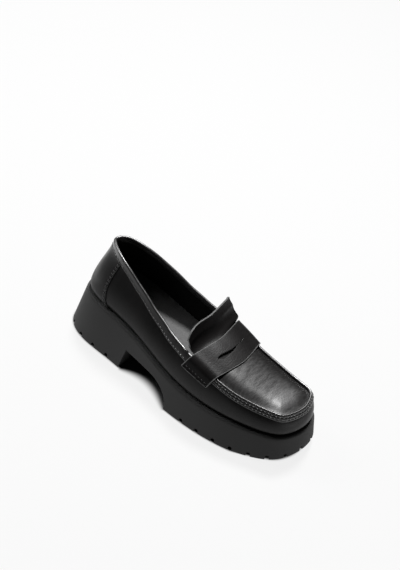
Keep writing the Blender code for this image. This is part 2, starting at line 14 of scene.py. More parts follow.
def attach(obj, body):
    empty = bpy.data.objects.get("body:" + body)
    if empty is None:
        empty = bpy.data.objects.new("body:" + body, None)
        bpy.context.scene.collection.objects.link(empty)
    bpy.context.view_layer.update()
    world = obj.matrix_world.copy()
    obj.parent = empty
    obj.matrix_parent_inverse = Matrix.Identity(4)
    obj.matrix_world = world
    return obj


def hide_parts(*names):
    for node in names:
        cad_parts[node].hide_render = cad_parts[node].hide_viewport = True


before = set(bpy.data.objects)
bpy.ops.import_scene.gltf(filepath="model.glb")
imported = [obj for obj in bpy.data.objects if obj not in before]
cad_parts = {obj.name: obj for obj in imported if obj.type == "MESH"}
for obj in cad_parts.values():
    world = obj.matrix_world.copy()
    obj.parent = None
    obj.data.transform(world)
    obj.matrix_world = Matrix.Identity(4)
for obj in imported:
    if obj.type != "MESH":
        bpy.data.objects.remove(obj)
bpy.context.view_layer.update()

MM = 0.001
UP = np.array([0.0, 0.0, 1.0])

# Sole
RIM_LENGTH = 272.0
BALL_WIDTH = 90.0
HEEL_HEIGHT = 51.0
PLATFORM_HEIGHT = 31.0
WALL_FLARE = 0.2
RIM_ROUND = 2.4
FOOT_CHAMFER = 0.9
BREAST_X = 79.0
BREAST_LEAN = 1.5
ARCH_HEIGHT = 24.5
TREAD_REAR_X = 146.0
TREAD_RAMP = 30.0
TOE_SPRING = 10.0
SPRING_LENGTH = 62.0
LUG_PITCH = 19.0
LUG_START = 22.5
HEEL_LUG_START = 19.5
LUG_END = 10.5
NOTCH_WIDTH = 4.2
NOTCH_HEIGHT = 5.0
NOTCH_RUN = 21.0
BAR_START = 21.0
HEEL_BAR_START = 26.5
BAR_END = 9.5
TOE_BAR_END = 30.5
BAR_LENGTH = 25.0
BAR_DEPTH = 3.5
CUTTER_DROP = 6.0
ROOF_STEPS = 10  # flats in the round roof of a notch or groove

# Upper, strap, counter, tongue and insole
UPPER_WALL = 2.0
RIM_LEDGE = 3.2
COLLAR_BACK_X = 15.0
APRON_FRONT_X = RIM_LENGTH - 10.0
COLLAR_HEIGHT = HEEL_HEIGHT + 59.0
APRON_HEIGHT = PLATFORM_HEIGHT + 26.0
CROWN_HEIGHT = 8.0
SIDE_SWELL = 3.0
BAND_WIDTH = 11.0
RIDGE_WIDTH = 7.0
FIT_GAP = 0.35
STRAP_FRONT_X = 191.0
STRAP_WIDTH = 31.0
STRAP_SWEEP = 11.0
STRAP_DROP = 15.0
STRAP_THICKNESS = 1.8
SWEEP_POWER = 1.6
THROAT_X = STRAP_FRONT_X - STRAP_WIDTH + 4.0
SLIT_LENGTH = 37.0
SLIT_WIDTH = 4.6
SLIT_REAR_SHARE = 0.3  # share of the slit's width behind the strap's middle line
COUNTER_THICKNESS = 1.2
COUNTER_FOOT_X = 52.0
COUNTER_TOP_X = 40.0
TONGUE_THICKNESS = 2.2
TONGUE_LENGTH = 30.0
TONGUE_SPREAD = 3.5
TONGUE_LIP = 0.8
TONGUE_START = 8.0
TONGUE_RISE = 62.0
TONGUE_LATERAL_CUT = 0.32
TONGUE_SHORT = 0.16  # share of its length lost along the whole end, but for the nub
TONGUE_NUB = 0.02
TONGUE_LAID = 0.2  # share of its rows that lie on the apron
INSOLE_THICKNESS = 3.0

# What the finish adds
LEATHER = 1.3  # thickness of the side leather and the apron
LINING = 0.6
STITCH = 2.7  # length of a stitch
STITCH_GAP = 1.2
THREAD = 0.8  # thickness of the sewing thread
EDGE_BEAD = 0.55  # radius of the paint on the strap's edges
EDGE_SINK = 0.45  # how far that paint's middle lies under the strap's top
LINING_TOP = 6.0  # where the lining starts below the collar
LINING_GAP = 0.15
ROOF_GAP = 0.9
UNDERLAP = 3.0  # how far the side leather runs up under the band and the ridge
SIDE_SHARE = 0.96  # share of the side leather's rows above its fold under the last
FOLD_IN = 1.6
FEATHER_IN = 2.0  # how far the leather turns in just above the sole
FEATHER_START = 0.86  # and where that starts, as a share of the side
STRIP_HIDDEN = 8.0  # how far the band and the ridge run on under the strap
APRON_PUFF = 1.9  # how far the apron swells from its seam
PUFF_RUN = 8.0
APRON_DIP = 2.4  # how much lower it lies under the strap, so that the slit shows dark
DIP_START = 4.0
DIP_RUN = 6.0
STRAP_COLUMNS = 200
STRAP_ROWS = 40  # the row of faces at the middle is the slit's
STRAP_SMOOTHING = 34
CORNER_LOOSE = 2.2  # how far the strap stands off at its medial rear corner
SEAM_LOOSE = 1.2  # and over the seams
BACKING_REACH = 0.66
BACKING_DIP = 1.2
TONGUE_BELLY = 2.8  # how far the tongue's medial side stands out: all along,
BELLY_LOW = 6.5  # more just behind the strap,
BELLY_MIDDLE = 1.8  # and more at half its height
TONGUE_LIFT = 2.4
CUP_START = 95.0  # the insole's hollow under the heel
CUP_RUN = 60.0
CUP_RISE = 1.0
CUP_DIP = 0.2
SHARP_ANGLE = 35.0
HEART_HEIGHT = 0.045  # metres
TURN_STEP = 0.012
TURN_PER_MM = 0.0032  # roughly, at the counter's front edge
HALF_INSTEP = 30.0  # roughly, half the width of the instep

# The sole's top rim: place along the length, then half widths as shares of BALL_WIDTH
RIM_COLUMNS = ("along", "lateral", "medial")
RIM_TABLE = (
    (1.000, -0.100, 0.100),
    (0.985, 0.115, 0.300),
    (0.968, 0.205, 0.365),
    (0.940, 0.283, 0.425),
    (0.900, 0.345, 0.462),
    (0.850, 0.402, 0.482),
    (0.800, 0.450, 0.488),
    (0.700, 0.513, 0.483),
    (0.600, 0.535, 0.460),
    (0.500, 0.522, 0.432),
    (0.400, 0.478, 0.410),
    (0.300, 0.432, 0.397),
    (0.200, 0.412, 0.390),
    (0.120, 0.402, 0.372),
    (0.060, 0.362, 0.332),
    (0.030, 0.308, 0.285),
    (0.010, 0.222, 0.205),
    (0.000, 0.035, -0.035),
)

# Collar and apron seam as one line, its height as a share from APRON_HEIGHT to COLLAR_HEIGHT
TOP_COLUMNS = ("along", "lateral", "medial", "height")
TOP_TABLE = (
    (1.000, -0.094, 0.094, 0.000),
    (0.990, 0.055, 0.225, 0.000),
    (0.975, 0.154, 0.308, 0.002),
    (0.930, 0.232, 0.348, 0.008),
    (0.875, 0.287, 0.350, 0.022),
    (0.820, 0.339, 0.347, 0.055),
    (0.764, 0.379, 0.342, 0.098),
    (0.710, 0.397, 0.337, 0.145),
    (0.655, 0.401, 0.345, 0.190),
    (0.600, 0.398, 0.350, 0.235),
    (0.545, 0.393, 0.352, 0.272),
    (0.490, 0.372, 0.355, 0.310),
    (0.430, 0.346, 0.340, 0.363),
    (0.380, 0.317, 0.325, 0.431),
    (0.320, 0.292, 0.302, 0.520),
    (0.270, 0.271, 0.280, 0.627),
    (0.210, 0.251, 0.247, 0.745),
    (0.155, 0.232, 0.205, 0.863),
    (0.100, 0.205, 0.160, 0.951),
    (0.045, 0.144, 0.115, 0.995),
    (0.000, 0.030, -0.030, 1.000),
)

# Rim height, crown over the apron seam, and the side's fullness above and below
RISE_COLUMNS = ("along", "rim", "crown", "shoulder", "swell")
RISE_TABLE = (
    (1.00, 0.15, 0.00, 1.2, 1.0),
    (0.95, 0.08, 0.12, 1.3, 1.0),
    (0.90, 0.03, 0.26, 1.4, 1.0),
    (0.80, 0.00, 0.52, 1.5, 1.0),
    (0.70, 0.00, 0.76, 1.5, 1.0),
    (0.62, 0.03, 0.92, 1.5, 1.0),
    (0.52, 0.16, 1.00, 1.3, 1.0),
    (0.42, 0.38, 1.00, 0.9, 1.0),
    (0.32, 0.60, 1.00, 0.6, 1.0),
    (0.22, 0.80, 1.00, 0.2, 0.8),
    (0.10, 0.93, 1.00, -0.1, 0.5),
    (0.00, 1.00, 1.00, -0.2, 0.3),
)

# Height of the band or ridge under the strap, by the distance down from the top line
RAISED_DOWN = (0.0, 2.0, 6.5, 8.5, 10.5, 12.5)
RAISED_HEIGHT = (0.9, 1.35, 1.3, 1.1, 0.5, 0.1)
RAISED_INNER = 4.0  # its run inwards, over the apron

# Folded collar band and apron ridge, across: distance down from the top line and height over
# the plain side
BAND_PROFILE = (
    (9.0, -2.5),
    (5.0, -2.5),
    (1.4, -2.35),
    (0.3, -2.1),
    (-0.4, -1.4),
    (-0.7, -0.6),
    (-0.4, 0.2),
    (0.4, 0.8),
    (1.6, 1.0),
    (4.5, 1.05),
    (8.2, 0.95),
    (9.0, 0.8),
    (9.8, 0.95),
    (10.7, 0.9),
    (11.1, 0.6),
    (11.2, 0.1),
    (10.8, -0.5),
)
RIDGE_PROFILE = (
    (-0.4, -1.3),
    (-1.1, -0.7),
    (-1.3, 0.1),
    (-1.0, 0.9),
    (-0.3, 1.5),
    (0.5, 1.7),
    (1.3, 1.55),
    (2.0, 1.25),
    (2.6, 1.15),
    (3.4, 1.4),
    (4.3, 1.4),
    (5.0, 1.15),
    (5.6, 1.1),
    (6.3, 1.25),
    (7.0, 1.1),
    (7.5, 0.7),
    (7.7, 0.1),
    (7.4, -0.6),
)

# Soft creases of the apron: x and y of the middle, half length, half width, depth, degrees
APRON_CREASES = (
    (195.0, -4.0, 15.0, 2.0, 0.05, 86.0),
    (200.5, 3.0, 17.0, 1.7, 0.04, 94.0),
    (206.5, -6.0, 14.0, 2.2, 0.04, 84.0),
    (212.0, 4.0, 16.0, 1.8, 0.03, 92.0),
    (219.0, -3.0, 15.0, 2.4, 0.03, 88.0),
    (227.0, 3.0, 15.0, 2.2, 0.04, 93.0),
    (236.0, -2.0, 13.0, 2.4, 0.03, 89.0),
)

# Leathers: name, dark and light tone, roughness, gloss, then size and depth in millimetres of the
# grain's cells and of the wrinkles
LEATHERS = (
    ("apron_leather", "#080707", "#0d0c0c", 0.34, 0.5, 1.4, 0.02, 1.3, 0.025),
    ("side_leather", "#080808", "#0d0c0c", 0.36, 0.19, 1.3, 0.02, 3.0, 0.03),
    ("strap_leather", "#0b0a0a", "#100f0f", 0.42, 0.07, 1.4, 0.06, 1.6, 0.07),
    ("rolled_leather", "#0c0b0b", "#121111", 0.36, 0.7, 1.3, 0.006, 3.0, 0.01),
)

# Camera: angles in degrees, the roll clockwise in the picture, lengths in millimetres
VIEW_AZIMUTH = 30.0
VIEW_ELEVATION = 45.5
VIEW_ROLL = 14.0
VIEW_DISTANCE = 1202.7
VIEW_TARGET = (139.0, 0.0, 45.0)
FOCAL_PIXELS = 1197.5
PICTURE = (400, 570)
TARGET_PIXEL = (199.94, 348.95)
SENSOR = 36.0

# Softboxes: name, azimuth and elevation, distance and size in metres, power
SOFTBOXES = (
    ("back_softbox", 208, 67, 1.5, (0.3, 0.24), 60),
    ("left_softbox", -75, 40, 1.6, (0.5, 1.0), 17),
)

# Bright cards flat on the floor just outside the picture: name, place, size in metres, power
CARDS = (
    ("heel_card", (-0.325, -0.03, 0.004), (0.14, 0.4), 0.3),
    ("toe_card", (0.335, -0.05, 0.004), (0.14, 0.4), 0.4),
)
SKY_STRENGTH = 0.04
PAPER_GLOW = 0.85
PAPER_BEYOND = 0.06  # share of its glow that the paper keeps outside the picture
FADE_START = 0.015  # where that fade starts outside the picture, and its run, as view slopes
FADE_RUN = 0.2

# Painted shadow on the paper by the sole's foot, not cast by any lamp: how far it reaches in
# under the foot and how wide it fades, at the sides, with what the toe and the arch add
SHADE_IN = 1.5
SHADE_IN_TOE = 7.0
SHADE_IN_ARCH = 15.0
SHADE_FADE = 2.5
SHADE_FADE_TOE = 1.0
SHADE_FADE_ARCH = 10.0
TOE_SHADE_X = 225.0
TOE_SHADE_RUN = 30.0


# Curves
def spline(keys, values):
    """Natural cubic spline through (keys, values), keys rising, as a function of an array."""
    keys = np.asarray(keys, float)
    values = np.asarray(values, float)
    step = np.diff(keys)
    slope = np.diff(values) / step
    count = len(keys)
    system = np.eye(count)
    right = np.zeros(count)
    for i in range(1, count - 1):
        system[i, i - 1 : i + 2] = step[i - 1], 2 * (step[i - 1] + step[i]), step[i]
        right[i] = 6 * (slope[i] - slope[i - 1])
    bend = np.linalg.solve(system, right)

    def curve(at):
        at = np.clip(np.asarray(at, float), keys[0], keys[-1])
        i = np.clip(np.searchsorted(keys, at) - 1, 0, count - 2)
        after = (at - keys[i]) / step[i]
        before = 1 - after
        bow = (before**3 - before) * bend[i] + (after**3 - after) * bend[i + 1]
        return before * values[i] + after * values[i + 1] + bow * step[i] ** 2 / 6

    return curve


def turn_of(along):
    """0 at the toe and 1 at the heel, spaced so that both ends come out round."""
    return np.arccos(np.clip(2 * np.asarray(along, float) - 1, -1, 1)) / math.pi


def along_of(turn):
    return (1 + np.cos(math.pi * np.asarray(turn, float))) / 2


def curves_of(table, names):
    turns = [float(turn_of(row[0])) for row in table]
    return {name: spline(turns, [row[i] for row in table]) for i, name in enumerate(names) if i}


RIM = curves_of(RIM_TABLE, RIM_COLUMNS)
TOP = curves_of(TOP_TABLE, TOP_COLUMNS)
RISE = curves_of(RISE_TABLE, RISE_COLUMNS)


def xyz(x, y, z):
    return np.stack(np.broadcast_arrays(x, y, z), axis=-1).astype(float)


def eased(share):
    """0 to 1 with a soft start and end."""
    return share * share * (3 - 2 * share)


def run_along(points):
    """Distance of each point from the first, along their row."""
    return np.concatenate([[0.0], np.cumsum(np.linalg.norm(np.diff(points, axis=0), axis=1))])


def unit(vectors):
    return vectors / np.maximum(np.linalg.norm(vectors, axis=-1, keepdims=True), 1e-9)


def wrapped(turn):
    """A signed turn, minus on the lateral side, brought back within -1 to 1 past the heel."""
    turn = np.asarray(turn, float)
    return np.where(np.abs(turn) > 1, turn - 2 * np.sign(turn), turn)


def sideways(curves, turn):
    lateral, medial = curves["lateral"](np.abs(turn)), curves["medial"](np.abs(turn))
    return np.where(turn < 0, -lateral, medial) * BALL_WIDTH


def rim(turn):
    turn = wrapped(turn)
    return xyz(along_of(turn) * RIM_LENGTH, sideways(RIM, turn), 0.0)


def top(turn):
    """The outer edge of the collar, and further forward the apron seam."""
    turn = wrapped(turn)
    x = COLLAR_BACK_X + along_of(turn) * (APRON_FRONT_X - COLLAR_BACK_X)
    z = APRON_HEIGHT + TOP["height"](np.abs(turn)) * (COLLAR_HEIGHT - APRON_HEIGHT)
    return xyz(x, sideways(TOP, turn), z)


def away_from(line, turn):
    """Level direction square to a line of the shoe, pointing out."""
    run = line(turn + TURN_STEP) - line(turn - TURN_STEP)
    return unit(xyz(run[..., 1], -run[..., 0], 0.0))


def rim_height(x):
    return PLATFORM_HEIGHT + RISE["rim"](turn_of(x / RIM_LENGTH)) * (HEEL_HEIGHT - PLATFORM_HEIGHT)


def tread_height(x):
    """Floor to the underside: heel, breast, arch, curved ramp, flat tread, toe spring."""
    x = np.asarray(x, float)
    ramp_start = TREAD_REAR_X - TREAD_RAMP
    ramp = np.clip((x - ramp_start) / TREAD_RAMP, 0, 1)
    spring = np.clip((x - RIM_LENGTH + SPRING_LENGTH) / SPRING_LENGTH, 0, None)
    arch = ARCH_HEIGHT * np.clip((x - BREAST_X) / BREAST_LEAN, 0, 1) * np.sqrt(1 - ramp**2)
    return np.where(x < TREAD_REAR_X, arch, TOE_SPRING * spring**2)


def wall(turn, height, inset=0.0):
    """A point of the sole's flared side wall."""
    spot = rim(turn)
    run = (rim_height(spot[..., 0]) - height) * WALL_FLARE - inset
    spot[..., 2] = height
    return spot + away_from(rim, turn) * np.asarray(run)[..., None]


def feather(turn):
    """Where the upper's outer face meets the sole."""
    spot = rim(turn) - away_from(rim, turn) * RIM_LEDGE
    spot[..., 2] = rim_height(spot[..., 0]) + FIT_GAP
    return spot


def side(turn, down):
    """The upper's plain side, from the top line (down 0) to the feather line (down 1)."""
    start, foot = top(turn), feather(turn)
    rise = (start[..., 2] - foot[..., 2])[..., None]
    out = away_from(rim, turn)
    size = np.abs(wrapped(turn))
    low = foot + out * SIDE_SWELL * RISE["swell"](size)[..., None] + UP * rise * 0.4
    high = start + out * SIDE_SWELL * RISE["shoulder"](size)[..., None] - UP * rise * 0.22
    t = (1 - np.asarray(down, float))[..., None]
    return foot * (1 - t) ** 3 + low * 3 * t * (1 - t) ** 2 + high * 3 * t**2 * (1 - t) + start * t**3


def side_length(turn):
    return np.linalg.norm(top(turn) - feather(turn), axis=-1)


def side_normal(turn, down):
    run = side(turn - TURN_STEP, down) - side(turn + TURN_STEP, down)
    fall = side(turn, np.clip(down - 0.03, 0, 1)) - side(turn, np.clip(down + 0.03, 0, 1))
    normal = unit(np.cross(run, fall))
    sign = np.sign(np.sum(normal * away_from(rim, turn), axis=-1, keepdims=True))
    return normal * sign


def down_side(turn, distance, lift):
    """A point so many millimetres below the top line, and lifted off the plain side."""
    share = np.clip(distance / side_length(turn), 0.0, 1.0)
    off = side_normal(turn, np.clip(share, 0.03, 0.97)) * np.asarray(lift)[..., None]
    over = np.clip(-distance, 0, None)[..., None]
    rising = unit(side(turn, 0.0 * share) - side(turn, 0.05 + 0.0 * share))
    return side(turn, share) + off + rising * over


def crown(turn, across):
    """The apron between its two seams, across from -1 lateral to 1 medial."""
    turn = np.abs(turn)
    near, far = top(-turn), top(turn)
    point = near + (far - near) * ((np.asarray(across) + 1) / 2)[..., None]
    point[..., 2] += CROWN_HEIGHT * RISE["crown"](turn) * (1 - np.abs(across) ** 2.3)
    return point


def crown_normal(turn, across):
    run = crown(turn - TURN_STEP, across) - crown(turn + TURN_STEP, across)
    over = crown(turn, np.clip(across + 0.05, -1, 1)) - crown(turn, np.clip(across - 0.05, -1, 1))
    return unit(np.cross(run, over))


def seam_half(turn):
    return np.maximum(1.0, np.linalg.norm(top(turn) - top(-np.asarray(turn)), axis=-1) / 2)


def turn_at_top(x):
    """The turn at which the top line reaches x."""
    return turn_of((np.asarray(x, float) - COLLAR_BACK_X) / (APRON_FRONT_X - COLLAR_BACK_X))


def turn_at_rim(x):
    return float(turn_of(x / RIM_LENGTH))


def smoothed(points, passes, axis):
    """Rows of points averaged with their neighbours along one axis, the ends kept."""
    points = np.moveaxis(points.copy(), axis, 0)
    for _ in range(passes):
        points[1:-1] = (points[:-2] + 2 * points[1:-1] + points[2:]) / 4
    return np.moveaxis(points, 0, axis)


def sole_middle():
    """The middle of the sole's foot, which the frame has at its origin."""
    turns = np.linspace(-1, 1, 721)
    spots = wall(turns, tread_height(rim(turns)[..., 0]) + FOOT_CHAMFER)
    middle = (spots.min(axis=0) + spots.max(axis=0)) / 2
    return np.array([middle[0], middle[1], 0.0])


ORIGIN = sole_middle()


def placed(points):
    return (points - ORIGIN) * MM


# Meshes
def grid(columns, rows, place, left_out=None):
    """A sheet of columns by rows cells; place gives its points from u and v, both 0 to 1."""
    bm = bmesh.new()
    bmesh.ops.create_grid(bm, x_segments=columns, y_segments=rows, size=0.5)
    middles = [(f, f.calc_center_median()) for f in bm.faces]
    cut = [f for f, at in middles if left_out and left_out(at.x + 0.5, at.y + 0.5)]
    flat = np.array([v.co for v in bm.verts]).reshape(rows + 1, columns + 1, 3) + 0.5
    points = placed(place(flat[..., 0], flat[..., 1])).reshape(-1, 3)
    for vert, point in zip(bm.verts, points):
        vert.co = point
    bmesh.ops.delete(bm, geom=cut, context="FACES")
    return bm


def weld(bm, distance=0.01):
    bmesh.ops.remove_doubles(bm, verts=bm.verts, dist=distance * MM)


def turn_out(bm, outward):
    """Turns the sheet over if most of its faces look against outward, a function of a place."""
    bmesh.ops.recalc_face_normals(bm, faces=bm.faces)
    total = sum(f.normal.dot(outward(f.calc_center_median())) * f.calc_area() for f in bm.faces)
    if total < 0:
        bmesh.ops.reverse_faces(bm, faces=bm.faces)


def from_heart(point):
    """Away from a line through the middle of the shoe, low inside it."""
    return Vector((0.0, point.y, point.z - HEART_HEIGHT))


def upwards(point):
    return Vector((0, 0, 1))


def joined(bm, part):
    """Adds a sheet to another, and frees it."""
    mesh = bpy.data.meshes.new("part")
    part.to_mesh(mesh)
    part.free()
    bm.from_mesh(mesh)
    bpy.data.meshes.remove(mesh)


def linked(name, bm):
    """A bmesh made into an object of the scene."""
    mesh = bpy.data.meshes.new(name)
    bm.to_mesh(mesh)
    bm.free()
    made = bpy.data.objects.new(name, mesh)
    bpy.context.scene.collection.objects.link(made)
    return made


def shaded(mesh, sharp):
    """Smooth shading, but for edges sharper than an angle in degrees."""
    mesh.shade_smooth()
    mesh.set_sharp_from_angle(angle=math.radians(sharp))


def piece(name, bm, finishes, nodes=(), sharp=SHARP_ANGLE):
    """A bmesh made into a named piece of the shoe."""
    made = linked(name, bm)
    for material in finishes:
        made.data.materials.append(material)
    shaded(made.data, sharp)
    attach(made, "root")
    if nodes:
        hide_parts(*nodes)
    return made


def walled(made, thickness, edge=0.35, rim_finish=0, back_finish=0):
    """Gives a sheet its leather's thickness, inwards, and rounds its cut edges."""
    solid = made.modifiers.new("thickness", "SOLIDIFY")
    solid.thickness = thickness * MM
    solid.offset = -1.0
    solid.material_offset = back_finish
    solid.material_offset_rim = rim_finish
    if edge:
        bevel = made.modifiers.new("cut edge", "BEVEL")
        bevel.width = edge * MM
        bevel.segments = 3
        bevel.limit_method = "ANGLE"
        bevel.angle_limit = math.radians(60)


# Materials
def linear(hex_colour):
    """An sRGB hex colour as linear RGBA."""
    channels = [int(hex_colour[i : i + 2], 16) / 255 for i in (1, 3, 5)]
    return (*[c / 12.92 if c <= 0.04045 else ((c + 0.055) / 1.055) ** 2.4 for c in channels], 1.0)


def node(tree, kind, inputs=(), **settings):
    """Adds a node. Each input gets a value, or another node's output to be linked from."""
    made = tree.nodes.new(kind)
    for name, value in settings.items():
        setattr(made, name, value)
    for name, value in dict(inputs).items():
        if isinstance(value, bpy.types.NodeSocket):
            tree.links.new(value, made.inputs[name])
        else:
            made.inputs[name].default_value = value
    return made


def finish(name, colour, **shader):
    """A Principled material in one colour, with the values that are the same all over it."""
    made = bpy.data.materials.new(name)
    made.use_nodes = True
    made.diffuse_color = linear(colour)
    principled = made.node_tree.nodes["Principled BSDF"]
    principled.inputs["Base Color"].default_value = linear(colour)
    for socket, value in shader.items():
        principled.inputs[socket.replace("_", " ")].default_value = value
    return made, made.node_tree, principled


def tones(tree, factor, low, high, start=0.3, end=0.7):
    """A colour between two hex values, by a factor's share of the way from start to end."""
    ramp = node(tree, "ShaderNodeValToRGB", {"Fac": factor})
    ramp.color_ramp.elements[0].position = start
    ramp.color_ramp.elements[0].color = linear(low)
    ramp.color_ramp.elements[1].position = end
    ramp.color_ramp.elements[1].color = linear(high)
    return ramp.outputs["Color"]


def per_mm(size):
    """A texture's scale for features of a size in millimetres."""
    return 1 / (size * MM)


def shine(tree, factor, shader, low, high):
    """Roughness from low to high as a factor goes from 0.3 to 0.7."""
    inputs = {"Value": factor, "From Min": 0.3, "From Max": 0.7, "To Min": low, "To Max": high}
    spread = node(tree, "ShaderNodeMapRange", inputs)
    tree.links.new(spread.outputs["Result"], shader.inputs["Roughness"])


def relieved(tree, shader, height, depth, strength=1.0):
    """Relief of a depth in millimetres that follows a texture."""
    inputs = {"Height": height, "Strength": strength, "Distance": depth * MM}
    relief = node(tree, "ShaderNodeBump", inputs)
    tree.links.new(relief.outputs["Normal"], shader.inputs["Normal"])


def grained(parts, kind, output, colours, span, inputs, relief, **settings):
    """Gives a new finish one texture that both its tone and its relief follow."""
    made, tree, shader = parts
    place = node(tree, "ShaderNodeTexCoord").outputs["Object"]
    pattern = node(tree, kind, {"Vector": place, **inputs}, **settings).outputs[output]
    tree.links.new(tones(tree, pattern, *colours, *span), shader.inputs["Base Color"])
    relieved(tree, shader, pattern, *relief)
    return made


def leather(name, low, high, roughness, gloss, grain_mm, grain, wrinkle_mm, wrinkle):
    """Cow leather, corrected and sprayed satin: small rounded grain cells and fine wrinkles
    across the shoe, so that its highlights are broad, soft and a little broken."""
    made, tree, shader = finish(name, high, IOR=1.5, Specular_IOR_Level=gloss)
    place = node(tree, "ShaderNodeTexCoord").outputs["Object"]
    cloud = node(tree, "ShaderNodeTexNoise", {"Vector": place, "Scale": per_mm(30), "Detail": 3.0})
    tree.links.new(tones(tree, cloud.outputs["Fac"], low, high), shader.inputs["Base Color"])
    cells = node(
        tree,
        "ShaderNodeTexVoronoi",
        {"Vector": place, "Scale": per_mm(grain_mm), "Smoothness": 0.35},
        feature="SMOOTH_F1",
    )
    # Wrinkles run across the shoe, so the pattern is drawn out along Y
    drawn = node(tree, "ShaderNodeMapping", {"Vector": place, "Scale": (1.0, 0.2, 0.4)})
    lines = node(
        tree,
        "ShaderNodeTexNoise",
        {
            "Vector": drawn.outputs["Vector"],
            "Scale": per_mm(wrinkle_mm),
            "Detail": 4.0,
            "Roughness": 0.6,
        },
    )
    pores = node(tree, "ShaderNodeTexNoise", {"Vector": place, "Scale": per_mm(0.5), "Detail": 2.0})
    shine(tree, lines.outputs["Fac"], shader, roughness - 0.05, roughness + 0.07)
    relief = None
    for source, depth in (
        (lines.outputs["Fac"], wrinkle),
        (cells.outputs["Distance"], grain),
        (pores.outputs["Fac"], grain / 3),
    ):
        inputs = {"Height": source, "Strength": 1.0, "Distance": depth * MM}
        if relief:
            inputs["Normal"] = relief.outputs["Normal"]
        relief = node(tree, "ShaderNodeBump", inputs)
    tree.links.new(relief.outputs["Normal"], shader.inputs["Normal"])
    return made


def moulded_rubber():
    """Carbon-black rubber out of a blasted mould: matte, charcoal, with a fine even tooth."""
    made, tree, shader = finish("moulded_rubber", "#2e2e2e", IOR=1.5, Specular_IOR_Level=0.25)
    place = node(tree, "ShaderNodeTexCoord").outputs["Object"]
    cloud = node(tree, "ShaderNodeTexNoise", {"Vector": place, "Scale": per_mm(45), "Detail": 5.0})
    tone = tones(tree, cloud.outputs["Fac"], "#2a2a2a", "#323232")
    tree.links.new(tone, shader.inputs["Base Color"])
    shine(tree, cloud.outputs["Fac"], shader, 0.58, 0.7)
    tooth = node(tree, "ShaderNodeTexNoise", {"Vector": place, "Scale": per_mm(0.8), "Detail": 4.0})
    relieved(tree, shader, tooth.outputs["Fac"], 0.06)
    return made


def pigskin_lining():
    """Unsprayed lining leather: no gloss, and pores in small groups."""
    return grained(
        finish("pigskin_lining", "#0c0b0b", Roughness=0.85, IOR=1.45, Specular_IOR_Level=0.25),
        "ShaderNodeTexVoronoi",
        "Distance",
        ("#070606", "#100f0f"),
        (0.1, 0.5),
        {"Scale": per_mm(1.6)},
        (0.1,),
    )


def sock_cover():
    """Brushed microfibre over the insole: dark grey, a short nap with a faint sheen."""
    sheen = {"Sheen_Weight": 0.15, "Sheen_Roughness": 0.4}
    return grained(
        finish("sock_cover", "#383838", Roughness=0.8, IOR=1.45, **sheen),
        "ShaderNodeTexNoise",
        "Fac",
        ("#303030", "#404040"),
        (0.3, 0.7),
        {"Scale": per_mm(1.2), "Detail": 4.0},
        (0.12,),
    )


def polyester_thread():
    """Bonded black thread: two twisted plies with a dull shine. Its grey is partly a painted
    highlight, lighter than black thread, so that the stitches show as light dashes.
    """
    return grained(
        finish("polyester_thread", "#404040", Roughness=0.45, IOR=1.5),
        "ShaderNodeTexWave",
        "Fac",
        ("#343434", "#4c4c4c"),
        (0.3, 0.7),
        {"Scale": per_mm(2.2), "Distortion": 1.0},
        (0.1, 0.6),
        bands_direction="DIAGONAL",
    )


def edge_paint_painted_highlight():
    """Cut leather edges sealed with black paint: smooth and a little glossier than the grain; its
    grey, far lighter than the black paint, is a painted highlight.
    """
    return grained(
        finish("edge_paint_painted_highlight", "#444444", Roughness=0.35, IOR=1.5),
        "ShaderNodeTexNoise",
        "Fac",
        ("#3a3a3a", "#4e4e4e"),
        (0.3, 0.7),
        {"Scale": per_mm(1.5), "Detail": 2.0},
        (0.05, 0.5),
    )


# Upper
def around(u, reach):
    """Signed turns once round the heel, from the lateral side to the medial."""
    return wrapped(-(reach + u * (2 - 2 * reach)))


def seam_width(turn):
    x = top(turn)[..., 0]
    share = np.clip((x - STRAP_FRONT_X + STRAP_WIDTH) / STRAP_WIDTH, 0, 1)
    return BAND_WIDTH + (RIDGE_WIDTH - BAND_WIDTH) * share


def tucked(down):
    """How far the leather turns in under the last just above the sole."""
    return FEATHER_IN * np.clip((down - FEATHER_START) / (1 - FEATHER_START), 0, 1) ** 2


def side_leather(finishes):
    """Vamp and quarters: one wrap round the last, from under the band and ridge to the sole."""

    def place(u, v):
        turn = wrapped(-2 * u)
        start = (seam_width(turn) - UNDERLAP) / side_length(turn)
        down = start + (1 - start) * np.clip(v / SIDE_SHARE, 0, 1)
        fold = FOLD_IN * np.clip((v - SIDE_SHARE) / (1 - SIDE_SHARE), 0, 1)
        return side(turn, down) - away_from(rim, turn) * (tucked(down) + fold)[..., None]

    bm = grid(300, 44, place)
    weld(bm)
    turn_out(bm, from_heart)
    made = piece("side_leather", bm, finishes, ["upper"])
    walled(made, LEATHER)


def swept(profile, sections, rows, turns, place):
    """A strip of one cross-section along the top line, its profile's corners eased."""
    table = np.array(profile)
    reach = run_along(table)

    def laid(u, v):
        at = v * reach[-1]
        down = np.interp(at, reach, table[:, 0])
        lift = np.interp(at, reach, table[:, 1])
        both = smoothed(np.stack([down, lift], axis=-1), 3, 0)
        return place(turns(u), both[..., 0], both[..., 1])

    return grid(sections, rows, laid)


def strip_end():
    """The turn, under the strap, to which the collar band and the apron ridge both run."""
    return float(turn_at_top(STRAP_FRONT_X - STRAP_SWEEP - STRIP_HIDDEN))


def collar_band(finishes):
    """The folded band that binds the collar, from one end of the strap round the heel."""
    end = strip_end()
    bm = swept(BAND_PROFILE, 300, 44, lambda u: around(u, end), down_side)
    turn_out(bm, from_heart)
    piece("collar_band", bm, finishes)


